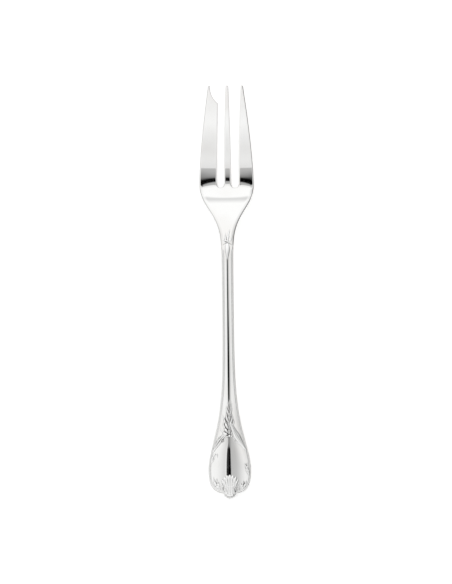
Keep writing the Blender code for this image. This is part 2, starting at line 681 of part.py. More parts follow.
def shell_half_width():
    """Half the shell's width at its widest."""
    angle = np.linspace(0.0, math.pi, 181)
    return float(np.max(shell_radius(angle) * np.sin(angle)))


def make_base_leaf(side):
    """Leaf between the shell and one side of the round end."""
    half = BASE_LEAF_WIDTH / 2
    middle = BASE_LEAF_START + BASE_LEAF_LENGTH / 2
    tip = BASE_LEAF_START + BASE_LEAF_LENGTH
    inner = shell_half_width() + ORNAMENT_CLEARANCE + half
    outer = field_edge(tip) - half
    spine = ((side * inner, BASE_LEAF_START), (side * inner, middle), (side * outer, tip))
    return make_leaf(spine, BASE_LEAF_WIDTH, BASE_LEAF_HEIGHT, lobes=3)


def make_terminal_shell():
    """Fluted shell that fans up from its hub to a raised lip, with two ears and a small lobe below."""
    angle = np.linspace(-math.pi, math.pi, RIB_COLUMNS * SHELL_RIBS + 1)
    ring = np.array(SHELL_RINGS)[:, None]
    rib = 0.5 + 0.5 * np.cos(SHELL_RIBS * angle)
    reach = shell_radius(angle) * (1.0 - SHELL_SCALLOP * (1.0 - rib))
    x = ring * reach * np.sin(angle)
    station = SHELL_HUB + ring * reach * np.cos(angle)
    swell = np.array(SHELL_SWELL)[:, None]
    relief = SHELL_HEIGHT * swell * (1.0 - SHELL_FLUTE * ring * (1.0 - rib))
    return make_relief(x, station, relief)


def main():
    """Build the fork's pieces under one empty."""
    for old in list(bpy.data.objects):
        bpy.data.objects.remove(old, do_unlink=True)
    collection = bpy.data.collections.new("serving_fork")
    bpy.context.scene.collection.children.link(collection)
    fork = bpy.data.objects.new("fork", None)
    collection.objects.link(fork)

    pieces = {
        "fork_head": (make_fork_head(), 0.06),
        "handle": (make_handle(), 0.07),
        "neck_leaf": (make_neck_leaf(), 0.12),
        "left_thread": (make_thread(-1), 0.10),
        "right_thread": (make_thread(1), 0.10),
        "stem_spray": (make_stem_spray(), 0.12),
        "left_scroll": (make_scroll(-1, LEFT_SCROLL_END), 0.12),
        "right_scroll": (make_scroll(1, RIGHT_SCROLL_END), 0.12),
        "left_side_leaf": (make_side_leaf(-1, LEFT_SIDE_LEAF_START), 0.12),
        "right_side_leaf": (make_side_leaf(1, RIGHT_SIDE_LEAF_START), 0.12),
        "left_base_leaf": (make_base_leaf(-1), 0.12),
        "right_base_leaf": (make_base_leaf(1), 0.12),
        "terminal_shell": (make_terminal_shell(), 0.12),
    }
    for name, (builder, roughness) in pieces.items():
        add_piece(name, builder, fork, collection, roughness)


main()
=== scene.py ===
"""Looks of a polished silver serving fork, laid out as an add-on and run as a script.

The fork lies face up with its tines toward +Y. Its origin is on the table, under the middle of its length.
A "station" is a length along the fork, measured from the lobe at the handle's end.
"""

import math

import bmesh
import bpy
import numpy as np
from bpy.props import FloatProperty, FloatVectorProperty, PointerProperty
from mathutils import Matrix, Vector
from mathutils.kdtree import KDTree


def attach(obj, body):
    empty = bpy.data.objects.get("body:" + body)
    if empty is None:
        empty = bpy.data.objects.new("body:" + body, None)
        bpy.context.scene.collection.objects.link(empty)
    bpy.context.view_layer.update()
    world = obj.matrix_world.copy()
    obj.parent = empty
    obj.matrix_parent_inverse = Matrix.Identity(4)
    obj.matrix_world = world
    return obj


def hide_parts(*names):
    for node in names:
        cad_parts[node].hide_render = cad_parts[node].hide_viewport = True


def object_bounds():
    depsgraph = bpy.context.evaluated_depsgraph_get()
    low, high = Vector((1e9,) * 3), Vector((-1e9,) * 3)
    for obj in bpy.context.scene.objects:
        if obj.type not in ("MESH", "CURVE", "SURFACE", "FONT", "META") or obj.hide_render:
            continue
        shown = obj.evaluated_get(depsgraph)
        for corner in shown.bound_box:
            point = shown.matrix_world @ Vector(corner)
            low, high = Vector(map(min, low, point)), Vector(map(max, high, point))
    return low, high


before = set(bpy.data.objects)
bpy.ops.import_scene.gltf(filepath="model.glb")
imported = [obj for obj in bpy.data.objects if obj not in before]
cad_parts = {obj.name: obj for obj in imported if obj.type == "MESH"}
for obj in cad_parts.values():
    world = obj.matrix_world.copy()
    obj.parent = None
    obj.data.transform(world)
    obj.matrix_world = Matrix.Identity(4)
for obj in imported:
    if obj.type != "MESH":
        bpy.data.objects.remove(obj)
CAD_LOW, CAD_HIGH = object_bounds()

bl_info = {
    "name": "Silver Serving Fork",
    "version": (1, 0, 0),
    "blender": (4, 5, 0),
    "location": "3D View > Sidebar > Fork",
    "description": "Builds a polished silver serving fork with chased ornament, and a plain studio for it",
    "category": "Add Mesh",
}

MM = 0.001
SAME_POINT = 1e-7  # metres within which two points count as one


def linear(hex_colour):
    """Turn an sRGB hex colour into linear red, green and blue."""
    values = [int(hex_colour[start : start + 2], 16) / 255 for start in (0, 2, 4)]
    return tuple(v / 12.92 if v <= 0.04045 else ((v + 0.055) / 1.055) ** 2.4 for v in values)


def length(millimetres, description):
    """A length that the panel shows, given in millimetres."""
    settings = {"description": description, "default": millimetres * MM}
    return FloatProperty, {**settings, "unit": "LENGTH", "precision": 5}


def number(value, description):
    """A plain number that the panel shows."""
    return FloatProperty, {"description": description, "default": value, "precision": 3}


def angle(degrees, description):
    """An angle that the panel shows, given in degrees."""
    return FloatProperty, {"description": description, "default": math.radians(degrees), "subtype": "ANGLE"}


def colour(hex_colour, description):
    """A colour that the panel shows, given as sRGB hex."""
    settings = {"description": description, "default": linear(hex_colour), "subtype": "COLOR"}
    return FloatVectorProperty, {**settings, "size": 3, "min": 0.0, "max": 1.0}


def named(group):
    """Turn the rows of a group into properties that are named after their keys."""
    for key, (kind, settings) in group.__annotations__.items():
        group.__annotations__[key] = kind(name=key.replace("_", " ").capitalize(), **settings)
    return group


@named
class ForkPlan(bpy.types.PropertyGroup):
    """The fork's outline as seen from above."""

    whole: length((CAD_HIGH.y - CAD_LOW.y) / MM, "End lobe to tine tips")
    head_width: length((CAD_HIGH.x - CAD_LOW.x) / MM, "Width where the tines begin")
    head_length: length(99.0, "Middle of the solder joint to the tine tips")
    tine_length: length(57.5, "Tine tips to where the slots' round bottoms begin")
    scarf: length(12.0, "Run of the slanted solder joint between handle and head")
    stem_width: length(7.1, "Width of the slim stem")
    spatula_width: length(25.4, "Width of the flat handle end")
    spatula_widest: length(17.5, "Station where the handle end is widest")
    shoulder: length(20.6, "Reach of the curve from palm to neck")
    shoulder_power: number(2.3, "How squarely the shoulder turns")
    flare: length(28.2, "Reach of the curve from handle end to stem")
    flare_power: number(1.65, "How squarely the flare turns")
    squareness: number(2.95, "How square the handle end's round is")
    lobe_radius: length(4.0, "Radius of the small lobe at the handle's end")
    lobe_depth: length(2.8, "How far the lobe stands out below the round end")
    left_slot: length(-3.55, "Middle of the left slot, across from the centre line")
    left_slot_width: length(3.9, "Width of the left slot at its root")
    right_slot: length(5.0, "Middle of the right slot, across from the centre line")
    right_slot_width: length(4.2, "Width of the right slot at its root")
    tip_inset: length(5.9, "How far the outer edges lean in over the tines' length")
    outer_power: number(1.5, "How late the outer edges lean in")
    inner_power: number(1.6, "How late the slots widen")
    centre_tip: length(0.85, "Middle of the centre tine's tip")
    centre_tip_width: length(1.7, "Width of the centre tine's tip")
    right_tip_width: length(1.4, "Width of the right tine's tip")
    left_tip_width: length(1.2, "Width of the cutting tine's tip")
    notch_length: length(10.4, "Length of the cutting notch, from the tip")
    notch_corner: length(-4.2, "Where the notch meets the slot, across from the centre line")
    notch_power: number(2.6, "How hollow the notch is")


@named
class ForkSection(bpy.types.PropertyGroup):
    """The fork's side profile and thickness."""

    shoulder_slope: number(0.70, "Fall over run at the steepest place, between neck and palm")
    lip_slope: number(0.61, "Fall over run just behind the steepest place")
    heel_slope: number(0.075, "Rise over run where the slots begin")
    root_slope: number(0.20, "Rise over run after the tines' first bend")
    tip_slope: number(0.33, "Rise over run at the tips")
    neck_bend: length(2.0, "Solder joint back to where the straight stem starts to bend")
    lip_run: length(3.0, "Run of the quick bend behind the steepest place")
    palm_run: length(9.2, "Slots' round bottoms back to the steepest place")
    tine_bend: length(9.5, "Run of the tines' first bend")
    heel_arc: length(2.5, "How far the head's bends draw back toward the handle at its sides")
    spatula_edge: length(1.9, "Edge thickness of the handle end")
    neck_edge: length(2.8, "Edge thickness of the neck")
    palm_edge: length(2.2, "Edge thickness of the palm")
    tip_edge: length(1.2, "Edge thickness of the tips")
    spatula_crown: length(1.6, "How far the handle end's front swells")
    round_run: length(8.0, "How far the evenly round section runs up from the widest place")
    field_depth: length(0.13, "How far the handle end's field is sunk below the stem")
    field_end: length(38.5, "Station where the sunk field ends, under the scrolls")
    field_run: length(9.5, "Run of the soft step down to the field")
    flank_slope: number(0.17, "Fall over run from the stem's ridge to its edges")
    ridge_flat: length(0.3, "Half the width of the stem's flat ridge, where the handle end begins")
    ridge_taper: number(0.05, "Share of the flat ridge's width that is left at the neck")
    ridge_bend: length(1.0, "Width of the bend from the ridge to the flank")
    head_crown: length(0.1, "How far the head's front swells from its outer edge")
    slot_crown: length(0.09, "How far the head's front swells from its slots")
    back_crown: length(0.5, "How far the back swells")
    crown_reach: length(2.4, "Width of the soft fall from crown to edge on the handle")
    head_reach: length(1.0, "Width of the soft fall to the head's outer edge")
    slot_reach: length(1.3, "Width of the soft fall to the slots")
    edge_round: length(0.8, "Width of the rounded edge")
    edge_slope: number(0.85, "Fall over run of the rounded edge, just above its upright wall")
    slot_slope: number(0.05, "The same beside the slots, which are rounded more softly")
    wall_round: length(0.06, "Width of the small round at the edge's upright wall")
    bevel_width: length(2.2, "Width of the bevel along the shoulders' edge")
    bevel_share: number(0.45, "Share of the front's height that the bevel takes off at the edge")
    rest_flat: length(0.3, "Depth worn flat where the fork rests on the table")
    end_rest: length(2.0, "Station of the rest under the handle end")
    solder_gap: length(0.15, "Fine seam at the solder joint")


@named
class ForkOrnament(bpy.types.PropertyGroup):
    """The chased ornament on the front of the handle."""

    thread_inset: length(0.3, "Bare metal between the edge and the thread")
    thread_width: length(1.35, "Width of the double thread")
    thread_height: length(0.2, "Height of the double thread")
    thread_start: length(6.2, "Where each thread starts beside the shell, across from the centre line")
    thread_end: length(147.4, "Station where each thread ends under the neck leaf")
    fan_centre: length(9.4, "Station of the middle of the shell's fan")
    fan_radius: length(5.5, "Half the width of the shell's fan")
    fan_squash: number(0.84, "Height of the shell's fan, as a share of its width")
    foot_centre: length(4.15, "Station of the middle of the shell's foot")
    foot_radius: length(3.75, "Radius of the shell's foot")
    shell_height: length(0.9, "Height of the shell's lip")
    waist: length(6.4, "Station of the shell's waist, where its flutes are closest")
    flute_width: length(1.0, "Width of a flute at the waist")
    flute_angle: angle(8.2, "How far each flute turns away from the next, above and below the waist")
    flute_depth: number(0.19, "Depth of the flutes, as a share of the shell's height")
    scallop: length(0.8, "Depth of the notches between the flutes at the shell's rim")
    fineness: length(0.11, "Spacing of the points that the relief is carved with")
    sink: length(0.1, "How deep an ornament's edge is let into the handle")


@named
class ForkFinish(bpy.types.PropertyGroup):
    """Colours and polish of the silver."""

    bright: colour("F8F8F7", "Freshly polished silver plate")
    worn: colour("F3F2F0", "Silver plate that has been handled")
    # A dark colour that stands partly for real tarnish in the chasing's grooves and partly for painted
    # shade, in the grooves and on the ornaments' level parts.
    recess: colour("3E3B37", "Tarnish left in the grooves of the chasing")
    mirror_roughness: number(0.035, "Roughness of the buffed head and handle")
    chased_roughness: number(0.08, "Roughness of the chased ornament")
    scratch_width: length(0.5, "Width of the polishing lines")
    scratch_length: length(14.0, "Length of the polishing lines")
    line_depth: length(0.002, "Depth of the polishing lines")
    patch_size: length(24.0, "Size of the handled patches")
    grain_size: length(0.8, "Size of the grain that punch and chisel leave in the chasing")
    grain_depth: length(0.02, "Depth of that grain")


@named
class ForkStage(bpy.types.PropertyGroup):
    """Camera, floor and the studio tent."""

    distance: length(4000.0, "Camera to the fork")
    frame_height: length(346.7, "Height of the picture at the fork")
    aim_x: length(-1.04, "Point that the picture is centred on, across")
    aim_y: length(-0.1, "Point that the picture is centred on, along")
    aim_z: length(8.0, "Point that the picture is centred on, above the table")
    tilt: angle(5.0, "Camera's lean toward the handle, square to the stem")
    roll: angle(0.64, "Camera's turn about its own line of sight")
    floor_size: length(12000.0, "Side of the square floor")
    floor_colour: colour("F4F4F3", "Matt white paper")
    fibre_size: length(2.0, "Size of the paper's fibres")
    fibre_depth: length(0.02, "Depth of the paper's fibres")
    floor_lift: number(0.42, "White added to the floor where it is seen, so that it stays a white ground")


def bell(distance, reach, power):
    """Fall smoothly from 1 at no distance towards 0 beyond the reach."""
    return np.exp(-((np.maximum(distance, 0.0) / reach) ** power))


def ease(start, end, value):
    """Rise smoothly from 0 at start to 1 at end."""
    share = np.clip((value - start) / (end - start), 0.0, 1.0)
    return share * share * (3.0 - 2.0 * share)


def quarter_round(distance, reach):
    """Rise as a quarter circle does, from 0 at the edge to 1 at the reach."""
    return np.sqrt(1.0 - (1.0 - np.clip(distance / reach, 0.0, 1.0)) ** 2)


def soft_fall(distance, reach):
    """Fall softly from 1 at the reach to 0 at the edge."""
    return 1.0 - (1.0 - np.clip(distance / reach, 0.0, 1.0)) ** 3


class PlanEdge:
    """A run of close plan points that distances are measured from."""

    reach = 0.5 * MM  # how far along the edge a point may lie from its nearest edge point

    def __init__(self, points):
        step = np.linalg.norm(np.diff(points, axis=0), axis=1)
        self.points = points[np.concatenate(([True], step > SAME_POINT))]
        run = np.gradient(self.points, axis=0)
        self.run = run / np.linalg.norm(run, axis=1)[:, None]
        self.tree = KDTree(len(self.points))
        for index, (x, station) in enumerate(self.points):
            self.tree.insert((x, station, 0.0), index)
        self.tree.balance()

    def distance(self, x, station):
        """Distance of plan points from the edge, taken square to its nearest stretch."""
        points = np.column_stack((np.ravel(x), np.ravel(station)))
        nearest = [self.tree.find((across, along, 0.0))[1] for across, along in points]
        offset = points - self.points[nearest]
        along = np.clip(np.sum(offset * self.run[nearest], axis=1), -self.reach, self.reach)
        square = np.maximum(np.sum(offset**2, axis=1) - along**2, 0.0)
        return np.sqrt(square).reshape(np.shape(x))


class ForkForm:
    """The fork's smooth shape: its outline, side profile, front and back."""

    outline_steps = 1600
    arc_steps = 60
    crowding = 1.8  # how much closer the points get towards the ends
    bevel_power = 1.5  # how hollow the shoulders' bevel is
    slot_margin = 0.01 * MM  # how much further off a slot's edge may be and still be the nearest

    def __init__(self, scene):
        plan = self.plan = scene.fork_plan
        section = self.section = scene.fork_section
        self.tip = plan.whole
        self.joint = plan.whole - plan.head_length
        self.spring = self.tip - plan.tine_length
        self.steepest = self.spring - section.palm_run
        self.corner = self.tip - plan.notch_length
        self.flare_end = plan.spatula_widest + 2 * plan.flare
        self.profile = self.side_profile()
        self.edge, self.slot_edges = self.outline()

    def half_width(self, station):
        """Half the width of handle, neck and palm."""
        plan = self.plan
        flare = bell(station - plan.spatula_widest, plan.flare, plan.flare_power)
        shoulder = bell(self.spring - station, plan.shoulder, plan.shoulder_power)
        side = plan.stem_width / 2
        side = side + (plan.spatula_width - plan.stem_width) / 2 * flare
        side = side + (plan.head_width - plan.stem_width) / 2 * shoulder
        reach = (plan.spatula_widest - station) / (plan.spatula_widest - plan.lobe_depth)
        reach = np.clip(reach, 0.0, 1.0)
        round_end = side * (1.0 - reach**plan.squareness) ** (1.0 / plan.squareness)
        lobe = np.sqrt(np.maximum(plan.lobe_radius**2 - (station - plan.lobe_radius) ** 2, 0.0))
        return np.maximum(round_end, lobe)

    def tip_widths(self):
        """Widths of the three tips, from left to right."""
        return self.plan.left_tip_width, self.plan.centre_tip_width, self.plan.right_tip_width

    def slots(self):
        """Middle and width of each slot, from left to right."""
        plan = self.plan
        return (plan.left_slot, plan.left_slot_width), (plan.right_slot, plan.right_slot_width)

    def tine_edges(self, station):
        """Left and right edge of each tine, from left to right, for stations along the tines."""
        plan = self.plan
        share = np.clip((station - self.spring) / plan.tine_length, 0.0, 1.0)
        outer = plan.head_width / 2 - plan.tip_inset * share**plan.outer_power
        lean = share**plan.inner_power
        tip_outer = plan.head_width / 2 - plan.tip_inset
        (left_slot, left_wide), (right_slot, right_wide) = self.slots()
        left_root = left_slot - left_wide / 2
        corner_lean = (1.0 - plan.notch_length / plan.tine_length) ** plan.inner_power
        corner = left_root + (plan.notch_corner - left_root) * corner_lean
        notch_share = np.clip((self.tip - station) / plan.notch_length, 0.0, 1.0)
        notch_tip = plan.left_tip_width - tip_outer
        notch = notch_tip + (corner - notch_tip) * notch_share**plan.notch_power

        def inner(root, tip):
            return root + (tip - root) * lean

        left_inner = np.where(station > self.corner, notch, inner(left_root, plan.notch_corner))
        half_tip = plan.centre_tip_width / 2
        centre_left = inner(left_slot + left_wide / 2, plan.centre_tip - half_tip)
        centre_right = inner(right_slot - right_wide / 2, plan.centre_tip + half_tip)
        right_inner = inner(right_slot + right_wide / 2, tip_outer - plan.right_tip_width)
        edges = []
        pairs = ((-outer, left_inner), (centre_left, centre_right), (right_inner, outer))
        for (left, right), tip_width in zip(pairs, self.tip_widths()):
            radius = tip_width / 2
            past = np.clip((station - (self.tip - radius)) / radius, 0.0, 1.0)
            half = (right - left) / 2 * np.sqrt(1.0 - past**2)
            middle = (left + right) / 2
            edges.append((middle - half, middle + half))
        return edges

    def slot_arc(self, centre, width, steps):
        """Round bottom of a slot, from its left side to its right side, as x and station."""
        turn = np.linspace(0.0, math.pi, steps + 1)
        return centre - width / 2 * np.cos(turn), self.spring - width / 2 * np.sin(turn)

    def outline(self):
        """The whole outline, and the edge of each slot by itself."""
        share = np.linspace(0.0, 1.0, self.outline_steps)
        handle = self.spring * share**self.crowding
        half = self.half_width(handle)
        tine = self.tip - self.plan.tine_length * (1.0 - share) ** self.crowding
        left, centre, right = self.tine_edges(tine)
        slots = []
        sides = ((right[0], centre[1]), (centre[0], left[1]))
        for (before, after), slot in zip(sides, self.slots()[::-1]):
            arc_x, arc_station = self.slot_arc(*slot, self.arc_steps)
            x = np.concatenate((before[::-1], arc_x[::-1], after))
            slots.append(np.column_stack((x, np.concatenate((tine[::-1], arc_station[::-1], tine)))))
        right_side = np.column_stack((np.concatenate((half, right[1])), np.concatenate((handle, tine))))
        left_side = np.column_stack((np.concatenate((left[0][::-1], -half[::-1])), right_side[::-1, 1]))
        whole = np.concatenate((right_side, *slots, left_side))
        return PlanEdge(whole), [PlanEdge(slot) for slot in slots]

    def side_profile(self):
        """Stations, slopes and heights of the middle plane, a chain of even bends.

        The stem's slope is worked out so that palm and handle end both rest on the table.
        The front's ridge stays straight along the handle, and its edges hang below this plane.
        """
        section = self.section
        bend = self.joint - section.neck_bend
        lip = self.steepest - section.lip_run
        tine_bend = self.spring + section.tine_bend
        stations = np.array((section.end_rest, bend, lip, self.steepest, self.spring, tine_bend, self.tip))
        end_soft = soft_fall(section.end_rest, section.crown_reach)
        end_height = section.spatula_edge / 2 + section.back_crown * end_soft - section.rest_flat
        end_height += float(self.edge_fall(np.array(section.end_rest)))
        heel_height = section.palm_edge / 2 + section.back_crown - section.rest_flat
        fall = section.lip_slope * (self.steepest - bend) / 2
        fall += section.shoulder_slope * (self.spring - lip) / 2 - section.heel_slope * section.palm_run / 2
        lever = (bend - section.end_rest) + (lip - bend) / 2
        stem_slope = (heel_height - end_height + fall) / lever
        head_slopes = (-section.lip_slope, -section.shoulder_slope, section.heel_slope, section.root_slope)
        slopes = np.array((stem_slope, stem_slope, *head_slopes, section.tip_slope))
        rises = (slopes[1:] + slopes[:-1]) / 2 * np.diff(stations)
        return stations, slopes, end_height + np.concatenate(([0.0], np.cumsum(rises)))

    def middle_height(self, station):
        """Height of the metal's middle plane above the table."""
        stations, slopes, heights = self.profile
        stretch = np.clip(np.searchsorted(stations, station, side="right") - 1, 0, len(stations) - 2)
        run = station - stations[stretch]
        bend = np.diff(slopes)[stretch] / np.diff(stations)[stretch]
        return heights[stretch] + slopes[stretch] * run + bend * run**2 / 2

    def edge_thickness(self, station):
        """Thickness of the metal before its crowns are added."""
        section = self.section
        stations = (0.0, self.plan.spatula_widest, self.joint, self.spring, self.tip)
        spatula = section.spatula_edge
        edges = (spatula, spatula, section.neck_edge, section.palm_edge, section.tip_edge)
        return np.interp(station, stations, edges)

    def stem_share(self, station):
        """How much of the stem's section there is, from none on the handle end to all on the stem."""
        return ease(self.plan.spatula_widest + self.section.round_run, self.flare_end, station)

    def flank_fall(self, x, station):
        """How far the stem's front falls from its narrow flat ridge, along its two flat flanks."""
        section = self.section
        taper = np.interp(station, (self.flare_end, self.joint), (1.0, section.ridge_taper))
        flat = section.ridge_flat * taper
        past = np.maximum(np.abs(x) - flat, 0.0)
        bend = np.minimum(past / section.ridge_bend, 1.0)
        flank = section.ridge_bend * (bend**3 - bend**4 / 2) + np.maximum(past - section.ridge_bend, 0.0)
        return section.flank_slope * flank

    def ridge_fall(self, x, station):
        """How far the handle's front falls from its straight ridge; the handle end is evenly round."""
        half = self.half_width(np.maximum(station, self.plan.spatula_widest))
        stem_share = self.stem_share(station)
        section = self.section
        round_fall = section.spatula_crown * (x / half) ** 2
        fall = stem_share * self.flank_fall(x, station) + (1.0 - stem_share) * round_fall
        step = ease(section.field_end - section.field_run, section.field_end, station)
        return fall + section.field_depth * (1.0 - step)

    def edge_fall(self, station):
        """How far the handle's middle plane lies below the ridge."""
        stem_share = self.stem_share(station)
        flank = self.flank_fall(self.half_width(station), station)
        return stem_share * flank + (1.0 - stem_share) * self.section.spatula_crown

    def shoulder_bevel(self, distance, station):
        """Share of the front's height that is left beside the edge, where the shoulders are bevelled."""
        section = self.section
        place = ease(self.joint, self.joint + self.plan.scarf, station)
        place = place * (1.0 - ease(self.spring - section.palm_run / 2, self.spring, station))
        depth = (1.0 - np.clip(distance / section.bevel_width, 0.0, 1.0)) ** self.bevel_power
        return 1.0 - section.bevel_share * place * depth

    def edge_body(self, distance, slope, station):
        """Half the metal's thickness beside an edge: an upright wall under a soft round."""
        section = self.section
        drop = slope * section.edge_round / 2
        drop = drop * (1.0 - np.clip(distance / section.edge_round, 0.0, 1.0)) ** 2
        return (self.edge_thickness(station) / 2 - drop) * quarter_round(distance, section.wall_round)

    def faces(self, x, station):
        """Heights of the front and the back of the fork at plan points."""
        section = self.section
        distance = self.edge.distance(x, station)
        handle_share = 1.0 - ease(self.joint, self.joint + self.plan.scarf, station)
        head_share = ease(self.joint, self.steepest, station)
        head_crown = section.head_crown * soft_fall(distance, section.head_reach)
        edge_slope = section.edge_slope
        if np.any(head_share > 0.0):
            slot_distance = np.minimum(*(slot.distance(x, station) for slot in self.slot_edges))
            head_crown = head_crown + section.slot_crown * soft_fall(slot_distance, section.slot_reach)
            beside_slot = (slot_distance < distance + self.slot_margin) & (station > self.spring)
            edge_slope = np.where(beside_slot, section.slot_slope, edge_slope)
        edge_fall = self.edge_fall(station)
        front_crown = (edge_fall - self.ridge_fall(x, station)) * handle_share + head_crown * head_share
        back_crown = section.back_crown * soft_fall(distance, section.crown_reach)
        body = self.edge_body(distance, edge_slope, station)
        heel_share = ease(self.steepest, self.spring, station)
        heel_share = heel_share * (1.0 - ease(self.spring, self.spring + section.tine_bend, station))
        drawn_back = section.heel_arc * (2.0 * x / self.plan.head_width) ** 2 * heel_share
        middle = self.middle_height(station + drawn_back) - self.profile[1][0] * drawn_back
        middle = middle - edge_fall * handle_share
        front = middle + body * self.shoulder_bevel(distance, station) + front_crown
        return front, np.maximum(middle - body - back_crown, 0.0)


def grid_rim(solid):
    """Points of a grid that lie on the rim of its solid part."""
    padded = np.pad(solid, 1)
    rows, columns = solid.shape
    inside = solid.copy()
    for down in (0, 1, 2):
        for across in (0, 1, 2):
            inside &= padded[down : down + rows, across : across + columns]
    return solid & ~inside


def closed_mesh(name, form, x, station, front, back, solid, wear_and_shade=None):
    """Close a front and a back grid over the same plan points into one mesh that meets at the rim."""
    rim = grid_rim(solid)
    front = np.where(rim, (front + back) / 2, front)
    under = solid & ~rim
    upper = np.full(solid.shape, -1)
    upper[solid] = np.arange(solid.sum())
    lower = upper.copy()
    lower[under] = solid.sum() + np.arange(under.sum())
    points = np.vstack(
        (
            np.column_stack((x[solid], station[solid] - form.tip / 2, front[solid])),
            np.column_stack((x[under], station[under] - form.tip / 2, back[under])),
        )
    )
    corners = ((slice(None, -1), slice(None, -1)), (slice(None, -1), slice(1, None)))
    corners += ((slice(1, None), slice(1, None)), (slice(1, None), slice(None, -1)))
    cells = np.logical_and.reduce([solid[corner] for corner in corners])
    cells &= ~np.logical_and.reduce([rim[corner] for corner in corners])
    above = np.column_stack([upper[corner][cells] for corner in corners])
    below = np.column_stack([lower[corner][cells] for corner in reversed(corners)])
    mesh = bpy.data.meshes.new(name)
    mesh.from_pydata(points.tolist(), [], np.vstack((above, below)).tolist())
    # This attribute is partly wear and partly painted shade: low values paint the chased silver dark.
    if wear_and_shade is not None:
        values = np.concatenate((wear_and_shade[solid], wear_and_shade[under])).astype(np.float32)
        mesh.attributes.new("wear_and_shade", "FLOAT", "POINT").data.foreach_set("value", values)
    builder = bmesh.new()
    builder.from_mesh(mesh)
    bmesh.ops.remove_doubles(builder, verts=builder.verts, dist=SAME_POINT)
    loose = [vertex for vertex in builder.verts if not vertex.link_faces]
    bmesh.ops.delete(builder, geom=loose, context="VERTS")
    builder.to_mesh(mesh)
    builder.free()
    return mesh


SHARP_ANGLE = math.radians(40)
LINE_NOISE = {"From Min": 0.3, "From Max": 0.7}  # from the deepest polishing lines to the highest
LINE_POLISH = (0.8, 1.3)  # roughness of the deepest and the highest lines, as shares of the mirror's
HANDLED_NOISE = {"From Min": 0.42, "From Max": 0.68}  # from clean silver to a handled patch
GRAIN_SHARE = 0.3  # how much the grain breaks up the tarnish and painted shade
TARNISH_AND_SHADE_FADE = {"From Min": 0.15, "From Max": 0.6}  # from full tarnish and painted shade to bright silver
SMOOTH_WEAR = {"From Min": 0.15, "From Max": 0.85}  # from dull to smooth silver
WEAR_POLISH = (1.8, 0.7)  # roughness of the dull and the smooth silver, as shares of the chased silver's


def add_piece(mesh, slot, node):
    """Show a finished mesh in place of its CAD node."""
    mesh.materials.append(silver_plate(slot))
    mesh.shade_smooth()
    mesh.set_sharp_from_angle(angle=SHARP_ANGLE)
    piece = bpy.data.objects.new(mesh.name, mesh)
    bpy.context.scene.collection.objects.link(piece)
    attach(piece, "root")
    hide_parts(node)


def add_node(tree, kind, inputs, **settings):
    """Add a node with its settings and give its outputs; an input takes a value or another's output."""
    node = tree.nodes.new(kind)
    for name, value in settings.items():
        setattr(node, name, value)
    for socket, value in inputs.items():
        if isinstance(value, bpy.types.NodeSocket):
            tree.links.new(value, node.inputs[socket])
        else:
            node.inputs[socket].default_value = value
    return node.outputs


def new_material(name):
    """A new material, its nodes and the Principled shader among them."""
    material = bpy.data.materials.new(name)
    material.use_nodes = True
    return material, material.node_tree, material.node_tree.nodes["Principled BSDF"]


def make_silver(tree, shader, share, colours, roughness, normal):
    """Turn a shader into silver plate: two tints, mixed by a share, with a polish and a fine relief."""
    inputs = {"Factor": share, 6: (*colours[0], 1.0), 7: (*colours[1], 1.0)}
    tint = add_node(tree, "ShaderNodeMix", inputs, data_type="RGBA")[2]
    for socket, output in (("Base Color", tint), ("Roughness", roughness), ("Normal", normal)):
        tree.links.new(output, shader.inputs[socket])
    shader.inputs["Metallic"].default_value = 1.0


def polished_silver(finish, name):
    """Silver plate buffed to a mirror: near white, with sharp reflections.

    Handling leaves soft, slightly warm patches, and buffing leaves fine lines along the fork.
    The lines are drawn about ten times too wide, because real ones are too fine to show.
    """
    material, tree, shader = new_material(name)
    place = add_node(tree, "ShaderNodeTexCoord", {})["Object"]
    across, along = 1.0 / finish.scratch_width, 1.0 / finish.scratch_length
    stretched = add_node(
        tree, "ShaderNodeMapping", {"Vector": place, "Scale": (across, along, across)}
    )["Vector"]
    lines = add_node(tree, "ShaderNodeTexNoise", {"Vector": stretched, "Scale": 1.0, "Detail": 3.0})["Fac"]
    patches = add_node(
        tree, "ShaderNodeTexNoise", {"Vector": place, "Scale": 1.0 / finish.patch_size, "Detail": 2.0}
    )["Fac"]
    handled = add_node(
        tree, "ShaderNodeMapRange", {"Value": patches, **HANDLED_NOISE}, interpolation_type="SMOOTHSTEP"
    )["Result"]
    deep, high = (finish.mirror_roughness * share for share in LINE_POLISH)
    roughness = add_node(
        tree, "ShaderNodeMapRange", {"Value": lines, **LINE_NOISE, "To Min": deep, "To Max": high}
    )["Result"]
    normal = add_node(
        tree, "ShaderNodeBump", {"Height": lines, "Strength": 0.05, "Distance": finish.line_depth}
    )["Normal"]
    make_silver(tree, shader, handled, (finish.bright, finish.worn), roughness, normal)
    return material


